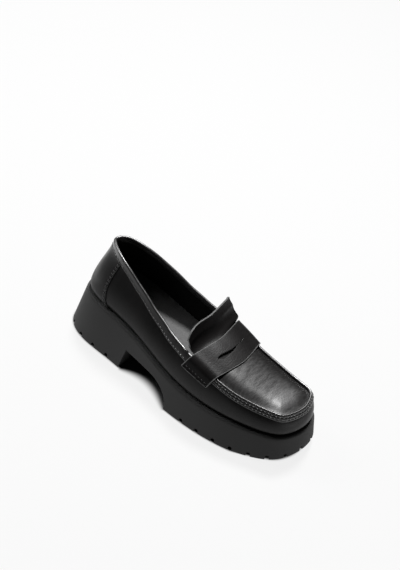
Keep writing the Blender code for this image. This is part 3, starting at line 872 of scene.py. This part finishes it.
def over_ridge(turn, down, lift):
    """Like down_side, and for a negative distance inwards over the apron."""
    inwards = np.clip(-down, 0, None)
    below = np.clip(down, 0, None)
    raised = np.asarray(lift)[..., None]
    # The direction of lift turns from straight up to square with the side
    leaning = side_normal(turn, 0.06 + 0.0 * down)
    share = eased(np.clip((down + 1.6) / 3.4, 0, 1))[..., None]
    tilt = unit(UP * (1 - share) + leaning * share)
    # Inwards it climbs with the apron, and less at the toe
    climb = inwards * 0.22 * np.where(np.abs(turn) < 0.2, 0.3, 1.0)
    inside = top(turn) - away_from(top, turn) * inwards[..., None] + climb[..., None] * UP
    beside = side(turn, below / side_length(turn))
    near = np.where(down[..., None] < 0, inside, beside) + tilt * raised
    mix = np.clip((down - 0.4) / 1.6, 0, 1)[..., None]
    return near * (1 - mix) + down_side(turn, below, lift) * mix


def apron_ridge(finishes):
    """The raised seam where the side leather is gathered over the apron's edge."""
    end = strip_end()
    bm = swept(RIDGE_PROFILE, 320, 48, lambda u: -end + 2 * end * u, over_ridge)
    turn_out(bm, from_heart)
    piece("apron_ridge", bm, finishes)


def creases(x, y):
    """Depth of the apron's soft troughs at a place, each with a low ridge beside it."""
    depth = np.zeros_like(x)
    for middle_x, middle_y, length, width, trough, degrees in APRON_CREASES:
        angle = math.radians(degrees)
        along = (x - middle_x) * math.cos(angle) + (y - middle_y) * math.sin(angle)
        across = (y - middle_y) * math.cos(angle) - (x - middle_x) * math.sin(angle)
        across = across + 0.012 * along**2
        fade = np.exp(-((along / length) ** 4))
        low = np.exp(-((across / width) ** 2))
        beside = np.exp(-(((across - 2.2 * width) / (1.4 * width)) ** 2))
        depth += trough * fade * (low - 0.5 * beside)
    return depth


def apron(finishes):
    """The apron, or plug: the smooth panel over the toes, pinched down along its seam."""
    rear = float(turn_at_top(THROAT_X))
    seam = top(np.linspace(-rear, rear, 500))[:, :2]

    def place(u, v):
        across = -1 + 2 * v
        point = crown(rear * u, across * 0.995)
        gap = np.min(np.linalg.norm(point[..., None, :2] - seam, axis=-1), axis=-1)
        puff = APRON_PUFF * (1 - np.exp(-((gap / PUFF_RUN) ** 2)))
        behind = STRAP_FRONT_X - strap_sweep(across) - DIP_START - point[..., 0]
        dip = APRON_DIP * eased(np.clip(behind / DIP_RUN, 0, 1))
        point[..., 2] += puff - LEATHER - dip
        point[..., 2] -= creases(point[..., 0], point[..., 1])
        return point

    bm = grid(240, 110, place)
    weld(bm)
    turn_out(bm, upwards)
    made = piece("apron", bm, finishes)
    walled(made, LEATHER, edge=0)


def strap_end():
    """How far across the strap reaches, at its middle."""
    turn = turn_at_top(STRAP_FRONT_X - STRAP_WIDTH / 2 - STRAP_SWEEP)
    return float(1 + STRAP_DROP / side_length(-turn))


def strap_sweep(across):
    """How far back the strap curves at a place across."""
    return STRAP_SWEEP * (np.abs(across) / strap_end()) ** SWEEP_POWER


def strap_turn(across, forward):
    """The section under a place on the strap, forward from 0 at its rear edge to 1."""
    return turn_at_top(STRAP_FRONT_X - STRAP_WIDTH * (1 - forward) - strap_sweep(across))


def over_instep(turn, across, lift):
    """A place over the instep, across beyond 1 going down the side, over the band or ridge."""
    size = np.abs(across)
    signed = np.where(across < 0, -turn, turn)
    down = np.clip(size - 1, 0, None)
    raised = np.interp(down * side_length(signed), RAISED_DOWN, RAISED_HEIGHT) + lift
    on_side = side(signed, down) + side_normal(signed, np.clip(down, 0.04, 1)) * raised[..., None]
    from_seam = (1 - np.clip(size, 0, 1)) * seam_half(turn)
    inner = RAISED_HEIGHT[0] * np.clip(1 - from_seam / RAISED_INNER, 0, 1) + lift
    flat = np.clip(across, -1, 1)
    on_crown = crown(turn, flat) + crown_normal(turn, flat * 0.97) * inner[..., None]
    return np.where((size > 1)[..., None], on_side, on_crown)


def slit_half():
    """Half the slit's length, as a share across."""
    return SLIT_LENGTH / 2 / float(seam_half(turn_at_top(STRAP_FRONT_X - STRAP_WIDTH / 2)))


def slit_width(across):
    """Full near the slit's lateral end, then tapering, with a small eye at its medial end."""
    half = slit_half()
    at = np.clip((across + half) / (2 * half), 0, 1)
    body = 1.5 * np.minimum(1, at / 0.1) ** 0.5 * np.clip(1 - at / 0.8, 0, 1) ** 1.2
    eye = 0.2 * np.exp(-(((at - 0.93) / 0.05) ** 2))
    return np.where(np.abs(across) < half, np.maximum(body + eye, 0.06), 0.0) * SLIT_WIDTH


def strap_surface(u, v):
    """The strap's top. The rows on either side of its slit part from one line."""
    across = -strap_end() + 2 * strap_end() * u
    gap = slit_width(across) / STRAP_WIDTH
    behind, before = SLIT_REAR_SHARE * gap, (1 - SLIT_REAR_SHARE) * gap
    middle = 0.5 + 1 / STRAP_ROWS
    low = np.clip(v / 0.5, 0, 1) * (0.5 - behind)
    high = 0.5 + before + np.clip((v - middle) / (1 - middle), 0, 1) * (0.5 - before)
    forward = np.where(v <= 0.5 + 1e-6, low, high)
    # It lies a little loose, more so over the seams and at its medial rear corner
    loose = CORNER_LOOSE * (1 - forward) * np.clip(across, 0, 1)
    loose = loose + SEAM_LOOSE * np.exp(-(((np.abs(across) - 0.98) / 0.16) ** 2))
    lift = FIT_GAP + STRAP_THICKNESS + loose
    return smoothed(over_instep(strap_turn(across, forward), across, lift), STRAP_SMOOTHING, 1)


def saddle_strap(finishes):
    """The strap over the instep, with the crescent slit at its middle."""

    def in_slit(u, v):
        return int(v * STRAP_ROWS) == STRAP_ROWS // 2 and abs(2 * u - 1) * strap_end() < slit_half()

    bm = grid(STRAP_COLUMNS, STRAP_ROWS, strap_surface, in_slit)
    weld(bm)
    turn_out(bm, from_heart)
    made = piece("saddle_strap_leather", bm, finishes, ["saddle_strap"])
    walled(made, STRAP_THICKNESS, 0.6, rim_finish=1)


def bead(bm, points, radius):
    """A round bead of edge paint along a path."""
    run = unit(np.gradient(points, axis=0))
    level = unit(np.cross(run, UP))
    steep = np.cross(level, run)

    def place(u, v):
        at = np.rint(u * (len(points) - 1)).astype(int)
        angle = 2 * math.pi * v[..., None]
        return points[at] + radius * (level[at] * np.cos(angle) + steep[at] * np.sin(angle))

    part = grid(len(points) - 1, 8, place)
    weld(part, 0.001)
    bmesh.ops.recalc_face_normals(part, faces=part.faces)
    joined(bm, part)


def strap_edges(paint):
    """The paint on the strap's cut edges stands a little proud to catch the light, and its light grey
    adds a painted highlight along them.
    """
    columns, rows = np.linspace(0, 1, STRAP_COLUMNS + 1), np.linspace(0, 1, STRAP_ROWS + 1)
    surface = strap_surface(*np.meshgrid(columns, rows)) - UP * EDGE_SINK
    bm = bmesh.new()
    for path in (surface[0], surface[-1], surface[:, 0], surface[:, -1]):
        bead(bm, path, EDGE_BEAD)
    piece("strap_edge_beads_painted_highlight", bm, [paint])


def slit_backing(finishes):
    """The matte backing of the strap that shows black through its slit."""

    def place(u, v):
        across = BACKING_REACH * (-1 + 2 * u)
        dip = BACKING_DIP * np.sin(math.pi * u) * np.sin(math.pi * v)
        return over_instep(strap_turn(across, 0.3 + 0.5 * v), across, 0.1 - dip)

    bm = grid(40, 12, place)
    turn_out(bm, from_heart)
    piece("slit_backing", bm, finishes)


def tongue(finishes):
    """The tongue: it lies under the strap, then rises free and stands open."""
    root_x = THROAT_X - FIT_GAP
    reach = 1 - (UPPER_WALL + 2 * FIT_GAP) / float(seam_half(turn_at_top(root_x)))
    first, last = math.radians(TONGUE_START), math.radians(TONGUE_RISE)

    def place(u, v):
        across = -1 + 2 * u
        medial, lateral = np.clip(across, 0, 1), np.clip(-across, 0, 1)
        # The first rows lie on the apron, and the rest rise free of it
        rear_x = top(strap_turn(across * reach, 0.0))[..., 0] - TONGUE_LIP
        laid = np.clip(v / TONGUE_LAID, 0, 1)
        point = crown(turn_at_top(root_x + (rear_x - root_x) * laid), across * reach)
        share = np.clip((v - TONGUE_LAID) / (1 - TONGUE_LAID), 0, 1)
        nub = TONGUE_NUB * np.clip((across - 0.9) / 0.05, 0, 1)
        cut = TONGUE_SHORT + TONGUE_LATERAL_CUT * lateral**4 - nub
        length = TONGUE_LENGTH * (1 - cut) * share
        slope = first + (last - first) * np.clip(share * 1.6, 0, 1)
        chord = first + (slope - first) * (0.5 + 0.28 * share)
        point = point + xyz(-np.cos(chord) * length, 0.0, np.sin(chord) * length)
        # Its medial side bellies out over the collar before it narrows to the nub
        belly = (TONGUE_BELLY + BELLY_LOW * (1 - share) ** 1.8) * np.clip(share * 12, 0, 1)
        belly = belly + BELLY_MIDDLE * np.sin(math.pi * np.clip(share * 1.1, 0, 1))
        belly = belly * medial**1.5
        point[..., 1] += medial * TONGUE_SPREAD * share**0.5 + belly
        point[..., 2] += TONGUE_LIFT * medial * np.clip(share * 6, 0, 1) + 0.12 * belly
        return smoothed(point, 6, 0)

    bm = grid(90, 80, place)
    turn_out(bm, lambda point: Vector((0.5, 0, 1)))
    made = piece("tongue_leather", bm, finishes, ["tongue"])
    walled(made, TONGUE_THICKNESS, 0.5, rim_finish=1, back_finish=2)


def counter_place(u, v):
    """Places on the heel counter: u round the heel, v from the band down to the sole."""
    share = -1 + 2 * u
    front = COUNTER_TOP_X + (COUNTER_FOOT_X - COUNTER_TOP_X) * v**2.2
    turn = 1 - (1 - turn_at_top(front)) * np.abs(share)
    signed = np.where(share < 0, -turn, turn)
    length = side_length(signed)
    start = (BAND_WIDTH - 1.5) / length
    low = 1 - FIT_GAP / length
    return signed, start + (low - start) * v


def heel_counter(finishes):
    """The heel counter, sewn over the quarters with a double row."""

    def place(u, v):
        signed, down = counter_place(u, v)
        point = side(signed, down) + side_normal(signed, down) * COUNTER_THICKNESS
        return point - away_from(rim, signed) * tucked(down)[..., None]

    bm = grid(140, 50, place)
    turn_out(bm, from_heart)
    made = piece("heel_counter_leather", bm, finishes, ["heel_counter"])
    walled(made, COUNTER_THICKNESS, 0.35, rim_finish=1)


def lining(finishes):
    """The lining inside the quarters and under the apron."""
    rear = float(turn_at_top(THROAT_X))

    def walls(u, v):
        turn = wrapped(-2 * u)
        start = LINING_TOP / side_length(turn)
        down = start + (0.99 - start) * v
        inwards = side_normal(turn, np.clip(down, 0.03, 0.97)) * (LEATHER + LINING_GAP)
        return side(turn, down) - inwards

    def roof(u, v):
        return crown(rear * u, (-1 + 2 * v) * 0.97) - UP * (LEATHER + ROOF_GAP)

    for name, sheet, outward in (
        ("quarter_lining", grid(200, 24, walls), from_heart),
        ("apron_lining", grid(60, 30, roof), upwards),
    ):
        weld(sheet)
        turn_out(sheet, outward)
        made = piece(name, sheet, finishes)
        walled(made, LINING, 0)


def insole(finishes):
    """The insole with its sock: a shallow dish under the heel and a rounded edge."""
    inset = RIM_LEDGE + UPPER_WALL + FIT_GAP

    def edge(turn):
        return rim(turn) - away_from(rim, turn) * inset

    def place(u, v):
        across = -1 + 2 * v
        near, far = edge(-u), edge(u)
        point = near + (far - near) * ((across + 1) / 2)[..., None]
        heel = np.clip((CUP_START - point[..., 0]) / CUP_RUN, 0, 1)
        point[..., 2] = rim_height(point[..., 0]) + FIT_GAP + INSOLE_THICKNESS
        point[..., 2] += heel * (CUP_RISE * np.abs(across) ** 3 - CUP_DIP)
        return point

    bm = grid(160, 50, place)
    weld(bm)
    turn_out(bm, upwards)
    made = piece("insole_sock", bm, finishes, ["insole"])
    walled(made, INSOLE_THICKNESS - 0.3, 0.5)


# Sole
def snapped(turns, marks):
    """Even turns with the nearest one moved onto each mark."""
    turns = np.array(turns)
    for mark in marks:
        turns[np.argmin(np.abs(turns - mark))] = mark
    return turns


def sole_turns(count):
    ramp = [TREAD_REAR_X - TREAD_RAMP * (1 - share) for share in (0.0, 1.0)]
    marks = [BREAST_X, BREAST_X + BREAST_LEAN, *ramp, RIM_LENGTH - SPRING_LENGTH]
    return snapped(np.linspace(0, 1, count + 1), [turn_at_rim(x) for x in marks])


def sole_blank(count=170):
    """The sole before its lugs are cut: a rounded rim, a flared wall, and flat top and foot."""
    turns = sole_turns(count)
    ring = np.concatenate([-turns, turns[-2::-1]])

    def wall_rows(u, v):
        turn = ring[np.rint(u * 2 * count).astype(int)]
        x = rim(turn)[..., 0]
        high, low = rim_height(x), tread_height(x)
        # Rows: a quarter round at the rim, the wall, a quarter round at the foot
        bend = np.clip(v / 0.3, 0, 1) * math.pi / 2
        straight = np.clip((v - 0.3) / 0.5, 0, 1)
        foot = np.clip((v - 0.8) / 0.2, 0, 1) * math.pi / 2
        fall = low + FOOT_CHAMFER - high + RIM_ROUND
        height = high - RIM_ROUND * (1 - np.cos(bend)) + fall * straight - FOOT_CHAMFER * np.sin(foot)
        inset = RIM_ROUND * (1 - np.sin(bend)) + FOOT_CHAMFER * (1 - np.cos(foot))
        return wall(turn, height, inset)

    def deck(height_at, inset):
        def place(u, v):
            turn = turns[np.rint(u * count).astype(int)]
            height = height_at(rim(turn)[..., 0])
            near, far = wall(-turn, height, inset), wall(turn, height, inset)
            return near + (far - near) * v[..., None]

        return place

    bm = grid(2 * count, 20, wall_rows)
    joined(bm, grid(count, 16, deck(rim_height, RIM_ROUND)))
    joined(bm, grid(count, 16, deck(tread_height, FOOT_CHAMFER)))
    weld(bm, 0.02)
    bmesh.ops.recalc_face_normals(bm, faces=bm.faces)
    return bm


def groove(bm, spot, away, start, end, width, height):
    """A slot with a round roof, from start to end along away, cut up from the tread."""
    across = np.array([-away[1], away[0], 0.0])
    half = width / 2
    profile = [(-half, -CUTTER_DROP), (half, -CUTTER_DROP)]
    arc = [math.pi * i / ROOF_STEPS for i in range(ROOF_STEPS + 1)]
    profile += [(half * math.cos(a), height - half + half * math.sin(a)) for a in arc]
    middle = spot + away * start
    verts = [bm.verts.new(placed(middle + across * s + np.array([0, 0, z]))) for s, z in profile]
    end_face = bm.faces.new(verts)
    pushed = bmesh.ops.extrude_face_region(bm, geom=[end_face], use_keep_orig=True)["geom"]
    moved = [v for v in pushed if isinstance(v, bmesh.types.BMVert)]
    bmesh.ops.translate(bm, verts=moved, vec=Vector(away * (end - start) * MM))


def wall_marks(block, first):
    """Turns one LUG_PITCH apart round the foot of a block, the first mark so far from its end."""
    spots = wall(block, tread_height(rim(block)[..., 0]))
    path = run_along(spots)
    return wrapped(np.interp(np.arange(first, path[-1] - LUG_END, LUG_PITCH), path, block))


def lug_cutters():
    """Cutters for the notches round both blocks and for the grooves across the tread."""
    bm = bmesh.new()
    rear, breast = turn_at_rim(TREAD_REAR_X), turn_at_rim(BREAST_X)
    marks = [*wall_marks(np.linspace(-rear, rear, 601), LUG_START)]
    marks += [*wall_marks(np.linspace(-breast, breast - 2, 601), HEEL_LUG_START)]
    for turn in np.array(marks):
        spot = wall(turn, tread_height(rim(turn)[..., 0]))
        inwards = -away_from(rim, turn)
        groove(bm, spot, inwards, -RIM_LEDGE, NOTCH_RUN, NOTCH_WIDTH, NOTCH_HEIGHT)
    bars = np.arange(TREAD_REAR_X + BAR_START, RIM_LENGTH - TOE_BAR_END, LUG_PITCH)
    heel_bars = np.arange(HEEL_BAR_START, BREAST_X - BAR_END, LUG_PITCH)
    half = BAR_LENGTH / 2
    for x in [*bars, *heel_bars]:
        turn = np.array(turn_at_rim(x))
        middle = (wall(-turn, 0.0 * turn) + wall(turn, 0.0 * turn)) / 2
        middle[2] = tread_height(x)
        groove(bm, middle, np.array([0.0, 1.0, 0.0]), -half, half, NOTCH_WIDTH, BAR_DEPTH)
    bmesh.ops.recalc_face_normals(bm, faces=bm.faces)
    return linked("lug_cutters", bm)


def sole_unit(finishes):
    """The moulded sole, its notches and grooves cut out."""
    made = piece("sole_unit", sole_blank(), finishes, ["outsole"])
    cutters = lug_cutters()
    cut = made.modifiers.new("lugs", "BOOLEAN")
    cut.operation = "DIFFERENCE"
    cut.object = cutters
    graph = bpy.context.evaluated_depsgraph_get()
    mesh = bpy.data.meshes.new_from_object(made.evaluated_get(graph))
    made.modifiers.clear()
    made.data = mesh
    bpy.data.objects.remove(cutters)
    shaded(mesh, SHARP_ANGLE)


# Stitches
def at_distance(distance, path, values):
    """The row of values at a distance along a path."""
    return np.array([np.interp(distance, path, values[:, k]) for k in range(3)])


def stitches(name, lines, thread):
    """Rows of thread stitches, each line a pair of points and outward directions."""
    bm = bmesh.new()
    size = Matrix.Diagonal((STITCH / 2 * MM, THREAD / 2 * MM, THREAD / 2 * MM, 1))
    for points, normals in lines:
        path = run_along(points)
        count = int(path[-1] // (STITCH + STITCH_GAP))
        for at in (np.arange(count) + 0.5) * path[-1] / count:
            spot, up = at_distance(at, path, points), at_distance(at, path, normals)
            run = unit(at_distance(at + 0.5, path, points) - spot)
            up = unit(up - run * np.dot(up, run))
            turned = Matrix(np.stack([run, np.cross(up, run), up], axis=1).tolist()).to_4x4()
            place = Matrix.Translation(placed(spot).tolist()) @ turned @ size
            bmesh.ops.create_uvsphere(bm, u_segments=6, v_segments=6, radius=1, matrix=place)
    piece(name, bm, [thread], sharp=80)


def ridge_line(down, lift):
    """A row along the apron ridge, so far down from the top line and lifted so far."""
    end = float(turn_at_top(STRAP_FRONT_X - 6))
    turn = np.linspace(-end, end, 500)
    flat = 0 * turn
    return over_ridge(turn, flat + down, flat + lift), side_normal(turn, flat + down / 25)


def band_line(down, lift):
    """A row along the collar band, so far down from the top line and lifted so far."""
    end = float(turn_at_top(STRAP_FRONT_X - STRAP_WIDTH - STRAP_SWEEP - 1))
    turn = around(np.linspace(0, 1, 600), end)
    flat = 0 * turn
    return down_side(turn, flat + down, flat + lift), side_normal(turn, flat + 0.2)


def counter_line(inset, end):
    """A row inset from the counter's front edge, whose end is 0 lateral or 1 medial."""
    v = np.linspace(0.04, 0.97, 80)
    signed, down = counter_place(0 * v + end, v)
    out = side_normal(signed, down)
    towards_heel = signed * (1 + inset * TURN_PER_MM)
    return side(towards_heel, down) + out * (COUNTER_THICKNESS + 0.1), out


def strap_line(sign, inset):
    """A row inset from the strap's lateral end, sign -1, or its medial one, sign 1."""
    forward = np.linspace(0.06, 0.94, 60)
    across = 0 * forward + sign * (strap_end() - inset / HALF_INSTEP)
    turn = strap_turn(across, forward)
    points = over_instep(turn, across, 0 * across + FIT_GAP + STRAP_THICKNESS + 0.05)
    return points, side_normal(sign * turn, 0 * turn + 0.4)


def sewing(thread):
    """All the rows of stitches that show."""
    counter_rows = [counter_line(inset, end) for inset in (1.6, 4.0) for end in (0, 1)]
    stitches("ridge_stitches", [ridge_line(2.5, 1.35), ridge_line(5.4, 1.3)], thread)
    stitches("collar_stitches", [band_line(9.0, 1.0)], thread)
    stitches("counter_stitches", counter_rows, thread)
    stitches("strap_stitches", [strap_line(sign, 2.6) for sign in (-1, 1)], thread)


# Camera and light
def towards(azimuth, elevation):
    """From the shoe to a viewer at an azimuth and elevation in degrees, 0,0 at its lateral side."""
    azimuth, elevation = math.radians(azimuth), math.radians(elevation)
    level = Vector((math.sin(azimuth), -math.cos(azimuth), 0.0)) * math.cos(elevation)
    return level + Vector((0.0, 0.0, math.sin(elevation)))


def camera():
    """The photograph's angle; a small pitch puts the shoe at its height in the picture."""
    azimuth, roll = math.radians(VIEW_AZIMUTH), math.radians(VIEW_ROLL)
    back = towards(VIEW_AZIMUTH, VIEW_ELEVATION)
    right = Vector((math.cos(azimuth), math.sin(azimuth), 0.0))
    up = back.cross(right)
    rolled_right = right * math.cos(roll) + up * math.sin(roll)
    rolled_up = up * math.cos(roll) - right * math.sin(roll)
    pitch = math.atan((TARGET_PIXEL[1] - PICTURE[1] / 2) / FOCAL_PIXELS)
    axis_up = rolled_up * math.cos(pitch) + back * math.sin(pitch)
    axis_back = back * math.cos(pitch) - rolled_up * math.sin(pitch)
    data = bpy.data.cameras.new("camera")
    data.sensor_width = SENSOR
    data.lens = SENSOR * FOCAL_PIXELS / max(PICTURE)
    data.clip_start = 0.05
    data.clip_end = 20.0
    made = bpy.data.objects.new("camera", data)
    turned = Matrix((rolled_right, axis_up, axis_back)).transposed().to_4x4()
    spot = Vector(placed(np.array(VIEW_TARGET)).tolist()) + back * VIEW_DISTANCE * MM
    made.matrix_world = Matrix.Translation(spot) @ turned
    bpy.context.scene.collection.objects.link(made)
    bpy.context.scene.camera = made


def area_light(name, spot, turned, size, power):
    data = bpy.data.lights.new(name, "AREA")
    data.shape = "RECTANGLE"
    data.size, data.size_y = size
    data.energy = power
    made = bpy.data.objects.new(name, data)
    made.location = spot
    made.rotation_euler = turned
    bpy.context.scene.collection.objects.link(made)


def floor_sheet(name, cells, corners, depth, share_of, glow):
    """A level sheet of lit paper, its glow at each point by share_of."""
    (left, near), (right, far) = corners

    def place(u, v):
        return xyz(left + (right - left) * u, near + (far - near) * v, depth)

    made = linked(name, grid(*cells, place))
    mesh = made.data
    mesh.materials.append(glow)
    points = np.array([v.co for v in mesh.vertices]) / MM + ORIGIN
    mesh.attributes.new("open", "FLOAT", "POINT").data.foreach_set("value", share_of(points))


def paper():
    """White paper that glows evenly. Its glow follows the attribute open, a painted shadow: less
    where the sole stands on it or would shade it."""
    made, tree, shader = finish("paper_floor", "#3a3a3a", Roughness=0.9, Specular_IOR_Level=0.0)
    shader.inputs["Emission Color"].default_value = linear("#ffffff")
    # Painted shadow: the glow's strength follows the attribute open
    painted_shadow_factor = node(tree, "ShaderNodeAttribute", attribute_name="open")
    factors = {0: painted_shadow_factor.outputs["Fac"], 1: PAPER_GLOW}
    strength = node(tree, "ShaderNodeMath", factors, operation="MULTIPLY")
    tree.links.new(strength.outputs["Value"], shader.inputs["Emission Strength"])
    return made


def painted_shadow_share(points):
    """Painted shadow beside the sole: the share of the paper's glow kept, by distance from its foot.
    """
    turns = np.linspace(-1, 1, 400, endpoint=False)
    foot = wall(turns, 0.0 * turns)
    out = away_from(rim, turns)
    gap = points[:, None, :2] - foot[None, :, :2]
    nearest = np.argmin(np.linalg.norm(gap, axis=-1), axis=1)
    beyond = gap[np.arange(len(points)), nearest]
    signed = np.sum(beyond * out[nearest][:, :2], axis=-1)
    # The painted shadow stops short under the raised toe and under the arch, as if light came in there
    toe = np.clip((points[:, 0] - TOE_SHADE_X) / TOE_SHADE_RUN, 0, 1)
    middle = (BREAST_X + TREAD_REAR_X) / 2
    half = (TREAD_REAR_X - BREAST_X) / 2
    arch = np.clip(1 - ((points[:, 0] - middle) / half) ** 2, 0, 1)
    start = SHADE_IN + SHADE_IN_TOE * toe + SHADE_IN_ARCH * arch
    fade = SHADE_FADE + SHADE_FADE_TOE * toe + SHADE_FADE_ARCH * arch**0.5
    return eased(np.clip((signed + start) / fade, 0, 1))


def in_picture(points):
    """Share of the full glow that a floor place has: all of it in the picture, less beyond."""
    camera_view = np.array(bpy.context.scene.camera.matrix_world.inverted())
    seen = (points - ORIGIN) * MM @ camera_view[:3, :3].T + camera_view[:3, 3]
    width, height = PICTURE[0] / 2 / FOCAL_PIXELS, PICTURE[1] / 2 / FOCAL_PIXELS
    depth = np.maximum(-seen[:, 2], 0.1)
    beyond = np.maximum(np.abs(seen[:, 0]) / depth - width, np.abs(seen[:, 1]) / depth - height)
    share = eased(np.clip(1 - (beyond - FADE_START) / FADE_RUN, 0, 1))
    return PAPER_BEYOND + (1 - PAPER_BEYOND) * share


def studio():
    """Paper under the shoe, a dim room, softboxes and cards."""
    glow = paper()
    floor_sheet("floor", (172, 160), ((-2000, -2000), (2300, 2000)), -0.3, in_picture, glow)
    # This sheet carries the sole's painted shadow: its glow dims towards the foot and under it
    near_shoe = ((-40, -95), (325, 95))
    floor_sheet("floor_with_painted_shadow", (240, 130), near_shoe, -0.15, painted_shadow_share, glow)
    world = bpy.data.worlds.new("studio")
    world.use_nodes = True
    sky = world.node_tree.nodes["Background"]
    sky.inputs["Color"].default_value = linear("#ffffff")
    sky.inputs["Strength"].default_value = SKY_STRENGTH
    scene = bpy.context.scene
    scene.world = world
    for name, azimuth, elevation, distance, size, power in SOFTBOXES:
        back = towards(azimuth, elevation)
        turned = back.to_track_quat("Z", "Y").to_euler()
        area_light(name, back * distance, turned, size, power)
    for name, spot, size, power in CARDS:
        area_light(name, spot, (math.pi, 0.0, 0.0), size, power)
    scene.view_settings.view_transform = "Standard"
    scene.view_settings.look = "None"


def main():
    camera()
    apron_skin, side_skin, strap_skin, rolled_skin = [leather(*row) for row in LEATHERS]
    rubber, pigskin, sock = moulded_rubber(), pigskin_lining(), sock_cover()
    # The edge paint's light grey is a painted highlight on every cut edge it finishes; the thread's
    # grey is partly one
    thread, paint = polyester_thread(), edge_paint_painted_highlight()
    side_leather([side_skin])
    apron([apron_skin])
    apron_ridge([rolled_skin])
    collar_band([rolled_skin])
    heel_counter([side_skin, paint])
    saddle_strap([strap_skin, paint])
    strap_edges(paint)
    slit_backing([pigskin])
    tongue([strap_skin, paint, pigskin])
    lining([pigskin])
    insole([sock])
    sole_unit([rubber])
    sewing(thread)
    studio()


main()
